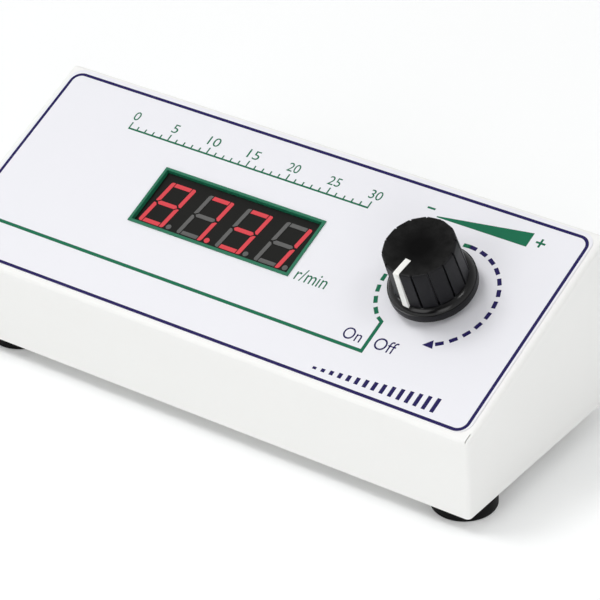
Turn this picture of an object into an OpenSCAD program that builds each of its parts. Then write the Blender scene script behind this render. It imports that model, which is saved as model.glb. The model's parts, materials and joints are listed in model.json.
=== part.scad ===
// Speed-control box of a bench homogenizer: a wedge-shaped sheet-metal box with a sloping printed panel,
// a four-digit display, a fluted knob on a switched potentiometer and the connectors at its back.
// Millimetres. +X right, +Y back, +Z up, origin on the bench under the middle of the whole box.

/* [Box] */
// Width over the side walls
box_w = 175; // [172:1:200]
// Depth from the front wall to the rear flange
box_d = 64.5; // [64:0.5:75]
// Height of the front wall above the box's lower edge
front_h = 23; // [22.5:0.5:28]
// Height of the rear edge above the box's lower edge
rear_h = 50.5; // [50:0.5:58]
// Thickness of the cover sheet
sheet_t = 1; // [0.8:0.1:1.2]
// Outside radius of the cover's bends
bend_r = 1.2; // [1:0.1:1.4]
// Thickness of the base and rear sheet
chassis_t = 1.2; // [1:0.1:1.5]
// Gap between the chassis edges and the cover
fit_gap = 0.3; // [0.2:0.05:0.5]
// Width of the cover's lips beside the rear opening
rear_lip = 4.5; // [3:0.5:5]
// Height of the cover's flange above the rear opening
rear_flange = 9; // [8:0.5:12]
// Length of the relief slits at the front corners
slit_l = 2.8; // [2:0.1:4]
// Width of the relief slits
slit_w = 0.3; // [0.2:0.05:0.5]
// Distance of the relief slits from the side walls
slit_inset = 1.1; // [0.8:0.1:2]

/* [Panel film] */
// Thickness of the printed film
film_t = 0.25; // [0.15:0.05:0.5]
// Distance of the film from the panel's edges
film_margin = 1.9; // [1.9:0.1:3]
// Corner radius of the film
film_r = 3.8; // [2:0.2:6]

/* [Display] */
// Distance of the display's middle from the left side wall
display_inset = 75.5; // [67.5:1:79.5]
// Middle of the display up the slope
display_s = 37; // [34:0.5:40]
// Outside width of the display frame
bezel_w = 53.2; // [52:0.2:56]
// Outside height of the display frame
bezel_h = 19.3; // [19:0.1:21]
// Width of the frame's visible rim
bezel_rim = 0.8; // [0.7:0.1:1.2]
// Thickness of the rim above the film
bezel_lip = 0.35; // [0.2:0.05:0.8]
// Wall of the frame's sleeve
bezel_wall = 0.4; // [0.3:0.1:0.6]
// Depth of the display body under the panel sheet's outside
face_depth = 1.3; // [1.3:0.1:2]
// Rise of the display's window inside its frame
window_h = 0.65; // [0.3:0.05:0.9]
// Thickness of the display body
display_d = 8; // [7:0.5:9]
// Height of a digit
digit_h = 14.2; // [12:0.1:15]
// Width of a digit
digit_w = 8.3; // [7:0.1:9]
// Distance between digits
digit_pitch = 12.85; // [12.5:0.05:13]
// Lean of the digits
digit_lean = 8; // [0:1:12]
// Shift of the row of digits to the left of the display's middle
digit_shift = 0.3; // [0:0.05:0.5]
// Drop of the row of digits under the display's middle
digit_drop = 0.75; // [0:0.05:1]
// Width of a segment
segment_w = 1.2; // [1:0.1:1.8]
// Gap between segments
segment_gap = 0.35; // [0.15:0.05:0.4]
// Diameter of a decimal point
point_d = 1.6; // [1.2:0.1:2]
// Gap between a digit and its decimal point
point_gap = 0.8; // [0.2:0.05:1]
// Length of the display board
display_board_w = 66; // [65:0.5:67]
// Height of the display board
display_board_h = 24; // [22:1:26]

/* [Knob] */
// Distance of the knob axis from the right side wall
knob_inset = 32.8; // [29.5:0.1:35.5]
// Knob axis up the slope
knob_s = 37.8; // [34:0.1:40]
// Skirt diameter
skirt_d = 23.6; // [23:0.2:26]
// Height of the skirt's rim
skirt_rim = 2.3; // [1:0.1:3]
// Height of the skirt's rounded shoulder
shoulder_h = 2.1; // [1:0.1:3]
// Grip diameter at the shoulder
grip_d = 20.2; // [19:0.1:21]
// Grip diameter at the top
grip_top_d = 19.6; // [18:0.1:20]
// Height of the knob
knob_h = 16.1; // [15.5:0.1:20]
// Gap between the panel and the skirt
knob_gap = 2.4; // [2:0.1:4]
// Number of grip grooves
groove_count = 14; // [8:1:24]
// Width of a grip groove
groove_w = 0.4; // [0.2:0.05:1]
// Depth of a grip groove at the top
groove_depth = 0.5; // [0.3:0.1:1]
// Width of the white pointer
pointer_w = 1.6; // [1:0.1:2.5]
// Distance of the pointer's inner end from the axis
pointer_start = 4.5; // [3:0.1:6]
// Turn of the pointer past straight down at the off stop
pointer_turn = -6; // [-30:1:30]

/* [Potentiometer] */
// Shaft diameter
shaft_d = 6; // [5:0.1:6.4]
// Threaded bushing diameter
bushing_d = 7.4; // [7.2:0.1:9]
// Length of the bushing above the panel sheet
bushing_l = 6; // [5:0.5:7]
// Diameter of the can
pot_d = 17; // [16:0.5:18]
// Depth of the can
can_l = 8.5; // [7:0.5:9]
// Depth of the switch behind the can
switch_l = 8; // [6:0.5:9]

/* [Feet] */
// Foot diameter
foot_d = 17.4; // [14:0.2:18]
// Foot height
foot_h = 4.4; // [4:0.1:8]
// Distance of the feet from the front and rear walls
foot_inset_y = 10.9; // [9.5:0.1:14]
// Distance of the feet from the side walls
foot_inset_x = 20; // [12:0.5:24]
// Distance of the front right foot from the side wall
foot_inset_right = 8.8; // [8.5:0.1:24]

/* [Rear connectors] */
// Distance of the mains inlet's middle from the left side wall
inlet_inset = 30.5; // [29.5:0.5:32.5]
// Height of the connectors above the box's lower edge
connector_z = 18; // [17.5:0.5:18.5]
// Distance between the inlet's screws
inlet_screw_pitch = 40; // [40:0.5:41]
// Distance of the fuse holder's axis from the right side wall
fuse_inset = 53.5; // [51.5:0.5:55.5]
// Diameter of the fuse holder's barrel
fuse_barrel_d = 12; // [11.5:0.1:13]
// Reach of the fuse cap behind its flange
fuse_cap_l = 7.5; // [6:0.5:9]
// Distance of the motor socket's axis from the right side wall
socket_inset = 18.5; // [17.5:0.5:19.5]
// Diameter of the motor socket's threaded barrel
socket_d = 16; // [15:0.5:17]
// Reach of the motor socket behind the rear panel
socket_l = 11; // [10.5:0.5:13]

/* [Control board] */
// Board length
board_w = 94; // [92:1:96]
// Board depth
board_d = 42; // [41:0.5:43]
// Distance of the board from the left side wall
board_inset = 7.5; // [6.5:0.5:8.5]
// Front edge of the board behind the front wall
board_y = 5; // [4.5:0.5:6]
// Height of the board's spacers
spacer_h = 5; // [4:0.5:6]

/* [Hidden] */
$fn = 64;
// Overlap that keeps cuts clean
cut = 1;
// Radial play of a turning or sliding fit, of a fixed fit and of a screw in its hole
run_gap = 0.05;
seat_gap = 0.05;
hole_gap = 0.1;

// Fuse holder's flange and the gap behind its cap
fuse_flange_t = 2.5;
cap_clear = 0.2;

// The slope and the box's place over the bench
slope = atan((rear_h - front_h) / box_d);
slope_len = norm([box_d, rear_h - front_h]);
rear_y = box_d - sheet_t;
rear_reach = max(socket_l, fuse_flange_t + cap_clear + fuse_cap_l) - sheet_t;
front_y = -(box_d + rear_reach) / 2;
function inner_z(y) = front_h + y * tan(slope) - sheet_t / cos(slope);

// Places across the box, from the side wall that each is set out from
display_x = display_inset - box_w / 2;
inlet_x = inlet_inset - box_w / 2;
board_x = board_inset + board_w / 2 - box_w / 2;
knob_x = box_w / 2 - knob_inset;
fuse_x = box_w / 2 - fuse_inset;
socket_x = box_w / 2 - socket_inset;

// Chassis outline inside the cover
chassis_w = box_w - 2 * sheet_t - 2 * fit_gap;
chassis_y = sheet_t + fit_gap;
chassis_bend = 2 * chassis_t;
chassis_h = inner_z(rear_y - chassis_t) - fit_gap;

// Screws: shank, head and nut sizes of the one small size used throughout
screw_d = 3;
screw_head_d = 5.6;
screw_head_h = 1.8;
recess_w = 0.8;
nut_af = 5.5;
nut_t = 2.4;

// Tabs inside the cover that take the base screws
tab_w = 14;
tab_l = 9;
tab_t = 2;
tab_inset = 42.5;
tab_x = box_w / 2 - tab_inset;
tab_y = 26;
tab_screw_y = tab_l / 2 + sheet_t;

// Rear flange screws
rear_screw_inset = 27.5;
rear_screw_x = box_w / 2 - rear_screw_inset;
rear_screw_z = rear_h - 5;
rear_screw_l = 6;

// Display
bezel_in_w = bezel_w - 2 * bezel_rim;
bezel_in_h = bezel_h - 2 * bezel_rim;
sleeve_w = bezel_in_w + 2 * bezel_wall;
sleeve_h = bezel_in_h + 2 * bezel_wall;
display_w = bezel_w - bezel_rim;
display_back = -face_depth - display_d;
window_z = window_h - face_depth;
pcb_t = 1.6;
segment_t = 0.12;
digit_count = 4;
lit_of = ["abcdefg", "abcp", "abcdg", "bc"];
stud_d = 5;
stud_x = display_board_w / 2 - 4;
stud_s = display_board_h / 2 - 4;
stud_bore_l = 5;
small_screw_d = 2.4;
small_screw_l = pcb_t + 4;
small_head_d = 4.4;
small_head_h = 1.4;
board_edge_s = display_s - display_board_h / 2;
pin_pitch = 2.54;
pin_row = 15.24;
pin_d = 0.5;
pin_tail = 1.5;

// Knob heights above the panel sheet
knob_top = knob_gap + knob_h;
shoulder_z = knob_gap + skirt_rim + shoulder_h;
knob_wall = 3;
knob_cavity_d = skirt_d - 2 * knob_wall;
insert_rise = 0.6;
insert_z = bushing_l + insert_rise;
insert_l = 6.5;
insert_d = 9;
dish_depth = 0.35;
top_edge = 0.5;
dish_margin = 0.9;
dish_r = grip_top_d / 2 - dish_margin;
groove_rise = 0.2;
pointer_depth = 0.7;
pointer_proud = 0.08;
// Angles round the shoulder that the pointer's end follows
pointer_turns = [75, 60];

// Potentiometer heights under the panel sheet
pot_plate_t = 1.2;
pot_top = -sheet_t - pot_plate_t;
can_wall = 0.6;
track_t = 1.2;
wiper_gap = 0.3;
wiper_t = 1.6;
finger_w = 1.2;
finger_l = 2;
finger_r = 5.6;
wiper_z = pot_top - track_t - wiper_gap - wiper_t;
can_back = pot_top - can_l;
tag_t = 0.4;
tag_w = 1.4;
tag_l = 6;
tag_pitch = 5;
switch_d = pot_d - 0.6;
switch_pad = [12, 3.2, 1];
tongue_w = 12.5;
tongue_l = 3;
tongue_s = pot_d / 2 + tongue_l;
washer_t = 0.5;
washer_d = 13;
pot_nut_t = 2;
pot_nut_af = 10;
flat_cut = 1.4;

// Feet
foot_bottom_r = 0.6;
foot_recess_d = 9;
foot_recess_h = foot_h - 2;
feet_xy = [[-box_w / 2 + foot_inset_x, foot_inset_y], [box_w / 2 - foot_inset_right, foot_inset_y],
    [-box_w / 2 + foot_inset_x, box_d - foot_inset_y], [box_w / 2 - foot_inset_x, box_d - foot_inset_y]];

// Mains inlet
inlet_flange_w = inlet_screw_pitch + 9;
inlet_flange_h = 22.5;
inlet_flange_t = 2.5;
inlet_w = 27;
inlet_h = 19.8;
inlet_depth = 17;
inlet_back_t = 3;
inlet_mouth_w = 24.2;
inlet_mouth_h = 16.4;
inlet_mouth_cut = 5;
blade_w = 2;
blade_h = 4;
blade_l = 13;
blade_pitch = 7;
blade_low = -2.2;
blade_high = 2.6;
inlet_tag_t = 0.8;
inlet_tag_l = 7;
blades_xz = [[-blade_pitch, blade_low], [0, blade_high], [blade_pitch, blade_low]];

// Fuse holder
fuse_flange_d = 15.5;
fuse_body_l = 26;
fuse_bore_d = fuse_barrel_d - 2.6;
fuse_d = 5.2;
fuse_l = 20;
fuse_front = -2;
fuse_back = fuse_front - fuse_l;
fuse_end_gap = 0.5;
carrier_l = 8.5;
carrier_front = fuse_front + 3.5;
cap_d = 13.5;
cap_ribs = 18;
cap_rib_d = 1.1;
cap_rim = 1;
cap_stem_d = fuse_bore_d - 0.6;
coin_slot_w = 1.4;
coin_slot_depth = 1.6;
fuse_nut_t = 3;
fuse_nut_af = fuse_barrel_d + 3;
fuse_tag_l = 5;
fuse_tag_w = 4;

// Motor socket
socket_flange_d = socket_d + 4;
socket_flange_t = 2;
socket_inside = 9;
socket_bore_d = socket_d - 3;
socket_insert_front = 2.5;
socket_insert_back = -7.5;
socket_pin_d = 2;
socket_pin_front = 6.2;
socket_pin_back = -13;
socket_pin_pcd = 6.5;
socket_pin_count = 4;
socket_nut_t = 3;
socket_nut_af = socket_d + 4;

// Vent slots in the rear panel, as many as fit between the mains inlet and the fuse holder
vent_pitch = 5;
vent_w = 2.4;
vent_h = 16;
vent_start_gap = 10.5;
vent_end_gap = 8;
vent_from = inlet_x + inlet_flange_w / 2 + vent_start_gap;
vent_to = fuse_x - fuse_flange_d / 2 - vent_end_gap;

// Control board and what stands on it
board_top = chassis_t + spacer_h + pcb_t;
board_mid_y = board_y + board_d / 2;
spacer_d = 6;
board_screw_l = pcb_t + spacer_h - 0.5;
spacer_x = board_w / 2 - 4;
spacer_y = board_d / 2 - 4;
transformer_size = [30, 21, 14];
transformer_at = [-23, 12.5];
core_step = 3;
sink_size = [26, 10, 13.5];
sink_fin_t = 1.2;
sink_fins = 6;
sink_base_t = 3;
sink_at = [7, 8];
triac_size = [10, 4.4, 9];
triac_lift = 3;
triac_leg_w = 0.8;
film_cap_size = [18, 8, 12];
film_cap_at = [30.5, 8];
can_cap_d = 10;
can_cap_h = 9;
can_cap_at = [23, 27];
choke_d = 16;
choke_hole_d = 7;
choke_h = 7.5;
choke_at = [6, 26];
chip_size = [19, 6.4, 3.4];
chip_at = [-29, 30.5];
driver_size = [18, 7.5, 2.6];
block_size = [22, 8, 9];
block_at = [27, 37.5];
block_ways = 4;
way_d = 3.4;
way_depth = 2;
way_h = 4;

// Wires
wire_d = 1.6;
solder_gap = 0.3;
wire_sides = 8;
wire_step = 5;
ribbon_w = 10;
ribbon_edge = 2;
ribbon_at = 34;
ribbon_t = 0.9;
ribbon_steps = 16;

// Places: inside the box, on the sloping panel, on the rear panel seen from behind, and on the control board
// from the middle of its front edge
module in_box() translate([0, front_y, foot_h]) children();

module on_panel(x, s, h = 0)
    in_box() translate([0, 0, front_h]) rotate([slope, 0, 0]) translate([x, s, h]) children();

module on_rear(x, z) in_box() translate([x, rear_y, z]) rotate([90, 0, 180]) children();

module on_board(at) in_box() translate([board_x + at[0], board_y + at[1], board_top]) children();

// A point on the panel as a point in the box
function panel_point(x, s, h) =
    [x, s * cos(slope) - h * sin(slope), front_h + s * sin(slope) + h * cos(slope)];

// Shared shapes
module round_rect(w, h, r) {
    square([w - 2 * r, h], center = true);
    square([w, h - 2 * r], center = true);
    for (x = [-1, 1], y = [-1, 1])
        translate([x * (w / 2 - r), y * (h / 2 - r)]) circle(r);
}

module frame_ring(w, h, in_w, in_h, t)
    linear_extrude(t) difference() {
        square([w, h], center = true);
        square([in_w, in_h], center = true);
    }

module block(size) translate([-size[0] / 2, -size[1] / 2, 0]) cube(size);

module hole(d, l) translate([0, 0, -cut]) cylinder(d = d, h = l + 2 * cut);

module hex_nut(af, t, bore)
    difference() {
        cylinder(d = af / cos(30), h = t, $fn = 6);
        hole(bore, t);
    }

// A pan-head screw with its head above the plane and its shank below it
module pan_screw(d, l, head_d = screw_head_d, head_h = screw_head_h) {
    difference() {
        cylinder(d = head_d, h = head_h);
        for (turn = [0, 90])
            rotate([0, 0, turn]) translate([-head_d * 0.3, -recess_w / 2, head_h / 2])
                cube([head_d * 0.6, recess_w, head_h]);
    }
    translate([0, 0, -l]) cylinder(d = d, h = l);
}

// Folded cover with its rear flange, lips and screw tabs
front_bend_z = front_h - bend_r * (1 - sin(slope)) / cos(slope);
rear_bend_z = front_h + (box_d - bend_r) * tan(slope) - bend_r / cos(slope);

module cover_outside()
    hull()
        for (x = [-1, 1], end = [[bend_r, front_bend_z], [box_d - bend_r, rear_bend_z]])
            translate([x * (box_w / 2 - bend_r), end[0], 0]) {
                cylinder(r = bend_r, h = cut, $fn = 32);
                translate([0, 0, end[1]]) sphere(r = bend_r, $fn = 32);
            }

module cover_inside()
    rotate([90, 0, 90]) linear_extrude(box_w - 2 * sheet_t, center = true)
        polygon([[sheet_t, -cut], [rear_y, -cut], [rear_y, inner_z(rear_y)], [sheet_t, inner_z(sheet_t)]]);

module rear_opening() {
    open_w = box_w - 2 * sheet_t - 2 * rear_lip;
    translate([-open_w / 2, rear_y - cut, -cut])
        cube([open_w, sheet_t + 2 * cut, rear_h - rear_flange + cut]);
}

module tab_places() {
    for (x = [-1, 1]) {
        translate([x * tab_x, sheet_t, chassis_t]) children();
        translate([x * (box_w / 2 - sheet_t), tab_y, chassis_t]) rotate([0, 0, x * 90]) children();
    }
}

module tab()
    difference() {
        translate([-tab_w / 2, -sheet_t / 2, 0]) cube([tab_w, tab_l + sheet_t / 2, tab_t]);
        translate([0, tab_screw_y, 0]) hole(screw_d + 2 * hole_gap, tab_t);
    }

module rear_screw_places()
    for (x = [-rear_screw_x, 0, rear_screw_x]) on_rear(x, rear_screw_z) children();

module cover()
    color("whitesmoke") difference() {
        in_box() {
            difference() {
                cover_outside();
                cover_inside();
                rear_opening();
            }
            tab_places() tab();
        }
        on_panel(display_x, display_s, -sheet_t - cut)
            block([sleeve_w + 2 * hole_gap, sleeve_h + 2 * hole_gap, sheet_t + 2 * cut]);
        on_panel(knob_x, knob_s, -sheet_t) hole(bushing_d + 2 * hole_gap, sheet_t);
        for (x = [-1, 1])
            on_panel(x * (box_w / 2 - slit_inset), 0, -sheet_t - cut)
                translate([-slit_w / 2, 0, 0]) cube([slit_w, slit_l, sheet_t + 2 * cut]);
        rear_screw_places() hole(screw_d + 2 * hole_gap, sheet_t);
    }

// Base and rear panel folded from one sheet
module chassis_profile() {
    translate([chassis_y, 0]) square([rear_y - chassis_bend - chassis_y, chassis_t]);
    translate([rear_y - chassis_t, chassis_bend]) square([chassis_t, chassis_h - chassis_bend]);
    translate([rear_y - chassis_bend, chassis_bend]) intersection() {
        difference() {
            circle(chassis_bend);
            circle(chassis_bend - chassis_t);
        }
        translate([0, -chassis_bend]) square(chassis_bend);
    }
}

module spacer_places()
    for (x = [-1, 1], y = [-1, 1])
        translate([board_x + x * spacer_x, board_mid_y + y * spacer_y, 0]) children();

module chassis()
    color("gainsboro") difference() {
        in_box() rotate([90, 0, 90]) linear_extrude(chassis_w, center = true) chassis_profile();
        in_box() {
            for (at = feet_xy) translate([at[0], at[1], 0]) hole(screw_d + 2 * hole_gap, chassis_t);
            tab_places() translate([0, tab_screw_y, -chassis_t]) hole(screw_d + 2 * hole_gap, chassis_t);
        }
        rear_screw_places() translate([0, 0, -chassis_t]) hole(screw_d + 2 * hole_gap, chassis_t);
        on_rear(inlet_x, connector_z) translate([0, 0, -chassis_t - cut]) {
            block([inlet_w + 2 * hole_gap, inlet_h + 2 * hole_gap, chassis_t + 2 * cut]);
            for (x = [-1, 1])
                translate([x * inlet_screw_pitch / 2, 0, cut]) hole(screw_d + 2 * hole_gap, chassis_t);
        }
        on_rear(fuse_x, connector_z) translate([0, 0, -chassis_t])
            hole(fuse_barrel_d + 2 * hole_gap, chassis_t);
        on_rear(socket_x, connector_z) translate([0, 0, -chassis_t])
            hole(socket_d + 2 * hole_gap, chassis_t);
        for (x = [vent_from : vent_pitch : vent_to])
            on_rear(x, connector_z)
                translate([0, 0, -chassis_t - cut]) linear_extrude(chassis_t + 2 * cut)
                    round_rect(vent_w, vent_h, vent_w / 2 - 0.01);
    }

// Printed film on the panel
module panel_film()
    color("aliceblue") on_panel(0, slope_len / 2) linear_extrude(film_t) difference() {
        round_rect(box_w - 2 * film_margin, slope_len - 2 * film_margin, film_r);
        translate([display_x, display_s - slope_len / 2])
            square([sleeve_w + 2 * hole_gap, sleeve_h + 2 * hole_gap], center = true);
        translate([knob_x, knob_s - slope_len / 2]) circle(d = bushing_d + 2 * hole_gap);
    }

// Green frame that lines the display opening
module display_bezel()
    color("seagreen") on_panel(display_x, display_s) {
        translate([0, 0, film_t]) frame_ring(bezel_w, bezel_h, bezel_in_w, bezel_in_h, bezel_lip);
        translate([0, 0, -face_depth])
            frame_ring(sleeve_w, sleeve_h, bezel_in_w, bezel_in_h, face_depth + film_t);
    }

// Display body with the window that fills its frame
module display_module()
    color("#262624") on_panel(display_x, display_s, display_back) {
        block([display_w, bezel_h, display_d]);
        block([bezel_in_w - 2 * hole_gap, bezel_in_h - 2 * hole_gap, display_d + window_h]);
    }

// Seven-segment outlines around the digit's middle, before they lean
half_w = digit_w / 2;
half_h = digit_h / 2;
corner_r = segment_w / 2;
bar_end = half_w - segment_w - segment_gap;
mid_end = half_w - segment_w / 2 - segment_gap;
bar = [[-bar_end, half_h - segment_w], [bar_end, half_h - segment_w], [bar_end, half_h], [-bar_end, half_h]];
middle = [[-mid_end, 0], [segment_w / 2 - mid_end, -segment_w / 2], [mid_end - segment_w / 2, -segment_w / 2],
    [mid_end, 0], [mid_end - segment_w / 2, segment_w / 2], [segment_w / 2 - mid_end, segment_w / 2]];
upright = concat(
    [[half_w, segment_gap], [half_w - segment_w / 2, segment_gap],
        [half_w - segment_w, segment_w / 2 + segment_gap], [half_w - segment_w, half_h]],
    [for (turn = [90 : -30 : 0]) [half_w - corner_r * (1 - cos(turn)), half_h - corner_r * (1 - sin(turn))]]);
function lean(points, sx, sy) = [for (p = points) [p[0] * sx + p[1] * sy * tan(digit_lean), p[1] * sy]];

module segment(name) {
    if (name == "a") polygon(lean(bar, 1, 1));
    if (name == "b") polygon(lean(upright, 1, 1));
    if (name == "c") polygon(lean(upright, 1, -1));
    if (name == "d") polygon(lean(bar, 1, -1));
    if (name == "e") polygon(lean(upright, -1, -1));
    if (name == "f") polygon(lean(upright, -1, 1));
    if (name == "g") polygon(lean(middle, 1, 1));
    if (name == "p")
        translate([half_w + point_d / 2 - half_h * tan(digit_lean) + point_gap, point_d / 2 - half_h])
            circle(d = point_d, $fn = 24);
}

module segments(lit)
    on_panel(display_x - digit_shift, display_s - digit_drop, window_z)
        for (i = [0 : digit_count - 1], name = "abcdefgp")
            if ((len(search(name, lit_of[i])) > 0) == lit)
                translate([(i - (digit_count - 1) / 2) * digit_pitch, 0, 0])
                    linear_extrude(segment_t) segment(name);

module lit_segments() color("#e4505a") segments(true);

module dark_segments() color("#696969") segments(false);

module pin_places()
    for (i = [0 : 5], row = [-1, 1])
        translate([(i - 2.5) * pin_pitch, row * pin_row / 2, 0]) children();

module display_pins()
    color("silver") on_panel(display_x, display_s, display_back - pcb_t - pin_tail)
        pin_places() cylinder(d = pin_d, h = pcb_t + pin_tail, $fn = 24);

module stud_places() for (x = [-1, 1], s = [-1, 1]) translate([x * stud_x, s * stud_s, 0]) children();

module display_board()
    color("darkgreen") on_panel(display_x, display_s, display_back - pcb_t) difference() {
        block([display_board_w, display_board_h, pcb_t]);
        pin_places() hole(pin_d + 2 * hole_gap, pcb_t);
        stud_places() hole(small_screw_d + 2 * hole_gap, pcb_t);
    }

module display_studs()
    color("silver") on_panel(display_x, display_s, display_back) stud_places() difference() {
        cylinder(d = stud_d, h = -display_back - sheet_t);
        translate([0, 0, -cut]) cylinder(d = small_screw_d + 2 * hole_gap, h = stud_bore_l + cut);
    }

module display_screws()
    color("silver") on_panel(display_x, display_s, display_back - pcb_t)
        stud_places() mirror([0, 0, 1]) pan_screw(small_screw_d, small_screw_l, small_head_d, small_head_h);

// Switched potentiometer
module pot_bushing()
    color("silver") on_panel(knob_x, knob_s) difference() {
        union() {
            translate([0, 0, pot_top]) cylinder(d = pot_d, h = pot_plate_t);
            translate([0, 0, -sheet_t]) cylinder(d = bushing_d, h = bushing_l + sheet_t);
        }
        translate([0, 0, pot_top]) hole(shaft_d + 2 * run_gap, bushing_l - pot_top);
    }

module pot_can()
    color("silver") on_panel(knob_x, knob_s, can_back) difference() {
        cylinder(d = pot_d, h = can_l);
        translate([0, 0, can_wall]) cylinder(d = pot_d - 2 * can_wall, h = can_l);
        translate([-tongue_w / 2 - hole_gap, -pot_d, can_l - track_t - hole_gap])
            cube([tongue_w + 2 * hole_gap, pot_d, can_l]);
    }

module pot_track()
    color("saddlebrown") on_panel(knob_x, knob_s, pot_top - track_t) difference() {
        union() {
            cylinder(d = pot_d - 2 * can_wall - 2 * hole_gap, h = track_t);
            translate([-tongue_w / 2, -tongue_s, 0]) cube([tongue_w, tongue_s, track_t]);
        }
        hole(shaft_d + 2, track_t);
    }

module pot_terminals() {
    color("silver") on_panel(knob_x, knob_s, pot_top - track_t - tag_t)
        for (x = [-1, 0, 1])
            translate([x * tag_pitch - tag_w / 2, -tongue_s - tag_l + tongue_l - hole_gap, 0])
                cube([tag_w, tag_l, tag_t]);
    color("silver") on_panel(knob_x, knob_s, can_back - switch_l - tag_l)
        for (x = [-1, 1]) translate([x * tag_pitch - tag_w / 2, 0, 0]) cube([tag_w, tag_t, tag_l]);
}

module pot_switch()
    color("#202022") on_panel(knob_x, knob_s, can_back - switch_l) difference() {
        union() {
            cylinder(d = switch_d, h = switch_l);
            translate([0, 0, -switch_pad[2]]) block(switch_pad);
        }
        for (x = [-1, 1])
            translate([x * tag_pitch - tag_w / 2 - seat_gap, -seat_gap, -switch_pad[2] - cut])
                cube([tag_w + 2 * seat_gap, tag_t + 2 * seat_gap, switch_pad[2] + cut]);
    }

module pot_washer()
    color("silver") on_panel(knob_x, knob_s, film_t) difference() {
        cylinder(d = washer_d, h = washer_t);
        hole(bushing_d + 2 * hole_gap, washer_t);
    }

module pot_nut()
    color("silver") on_panel(knob_x, knob_s, film_t + washer_t)
        hex_nut(pot_nut_af, pot_nut_t, bushing_d + 2 * seat_gap);

module flatted(d, from, to)
    difference() {
        cylinder(d = d, h = to);
        translate([-d, d / 2 - flat_cut, from]) cube([2 * d, d, to]);
    }

module pot_shaft()
    color("lightgray") on_panel(knob_x, knob_s) rotate([0, 0, pointer_turn]) {
        translate([0, 0, wiper_z + wiper_t])
            flatted(shaft_d, bushing_l + 0.4 - wiper_z - wiper_t, insert_z + insert_l - wiper_z - wiper_t);
        translate([0, 0, wiper_z - 1]) cylinder(d = shaft_d - 2, h = wiper_t + 1);
    }

module pot_wiper()
    color("goldenrod") on_panel(knob_x, knob_s, wiper_z) rotate([0, 0, pointer_turn]) difference() {
        union() {
            cylinder(d = pot_d - 2 * can_wall - 2, h = wiper_t);
            translate([-finger_w / 2, -finger_r, wiper_t]) cube([finger_w, finger_l, wiper_gap / 2]);
        }
        hole(shaft_d - 2 + 2 * seat_gap, wiper_t);
    }

// Fluted knob: skirt, rounded shoulder, grooved grip and dished top
function shoulder_point(turn, out = 0) =
    [grip_d / 2 + ((skirt_d - grip_d) / 2 + out) * cos(turn),
        knob_gap + skirt_rim + (shoulder_h + out) * sin(turn)];

module knob_profile()
    polygon(concat(
        [[0, knob_gap], [skirt_d / 2, knob_gap]],
        [for (turn = [0 : 15 : 90]) shoulder_point(turn)],
        [[grip_top_d / 2, knob_top - top_edge], [grip_top_d / 2 - top_edge, knob_top], [dish_r, knob_top]],
        [for (k = [4 : -1 : 0]) [dish_r * k / 5, knob_top - dish_depth * (1 - pow(k / 5, 2))]]));

// Pointer from its inner end over the edge, down the side and out on the shoulder
module pointer_profile()
    polygon(concat(
        [[pointer_start, knob_top - pointer_depth], [pointer_start, knob_top + pointer_proud],
            [grip_top_d / 2 + pointer_proud, knob_top + pointer_proud],
            [grip_d / 2 + pointer_proud, shoulder_z + pointer_proud]],
        [for (turn = pointer_turns) shoulder_point(turn, pointer_proud)],
        [[grip_d / 2 - pointer_depth, shoulder_point(pointer_turns[1])[1]],
            [grip_top_d / 2 - pointer_depth, knob_top - pointer_depth]]));

module pointer_shape()
    intersection() {
        rotate_extrude() pointer_profile();
        translate([-pointer_w / 2, -skirt_d, 0]) cube([pointer_w, skirt_d, 2 * knob_top]);
    }

module knob()
    color("#1c1c1e") on_panel(knob_x, knob_s) rotate([0, 0, pointer_turn]) difference() {
        rotate_extrude() knob_profile();
        for (i = [1 : groove_count - 1])
            rotate([0, 0, i * 360 / groove_count])
                translate([-groove_w / 2, -grip_d, shoulder_z + groove_rise])
                    cube([groove_w, grip_d - grip_top_d / 2 + groove_depth, knob_h]);
        pointer_shape();
        hole(knob_cavity_d, insert_z - cut);
        hole(insert_d + 2 * seat_gap, insert_z + insert_l - cut);
    }

module knob_pointer() color("white") on_panel(knob_x, knob_s) rotate([0, 0, pointer_turn]) pointer_shape();

module knob_insert()
    color("goldenrod") on_panel(knob_x, knob_s, insert_z) rotate([0, 0, pointer_turn]) difference() {
        cylinder(d = insert_d, h = insert_l);
        translate([0, 0, -cut]) difference() {
            cylinder(d = shaft_d + 2 * seat_gap, h = insert_l + 2 * cut);
            translate([-shaft_d, shaft_d / 2 - flat_cut + seat_gap, 0])
                cube([2 * shaft_d, shaft_d, insert_l + 2 * cut]);
        }
    }

// Rubber feet with their screws and nuts
module foot(at)
    color("#18181a") in_box() translate([at[0], at[1], -foot_h]) difference() {
        rotate_extrude() polygon(concat(
            [[0, 0]],
            [for (turn = [-90 : 15 : 0])
                [foot_d / 2 - foot_bottom_r * (1 - cos(turn)), foot_bottom_r * (1 + sin(turn))]],
            [[foot_d / 2, foot_h], [0, foot_h]]));
        translate([0, 0, -cut]) cylinder(d = foot_recess_d, h = foot_recess_h + cut);
        hole(screw_d + 2 * hole_gap, foot_h);
    }

module foot_front_left() foot(feet_xy[0]);

module foot_front_right() foot(feet_xy[1]);

module foot_rear_left() foot(feet_xy[2]);

module foot_rear_right() foot(feet_xy[3]);

module foot_screws()
    color("silver") in_box() for (at = feet_xy)
        translate([at[0], at[1], foot_recess_h - foot_h]) mirror([0, 0, 1])
            pan_screw(screw_d, foot_h - foot_recess_h + chassis_t + nut_t + 0.6);

module foot_nuts()
    color("silver") in_box() for (at = feet_xy)
        translate([at[0], at[1], chassis_t]) hex_nut(nut_af, nut_t, screw_d + 2 * seat_gap);

module base_screws()
    color("silver") in_box() tab_places() translate([0, tab_screw_y, -chassis_t])
        mirror([0, 0, 1]) pan_screw(screw_d, chassis_t + tab_t + 1);

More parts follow.
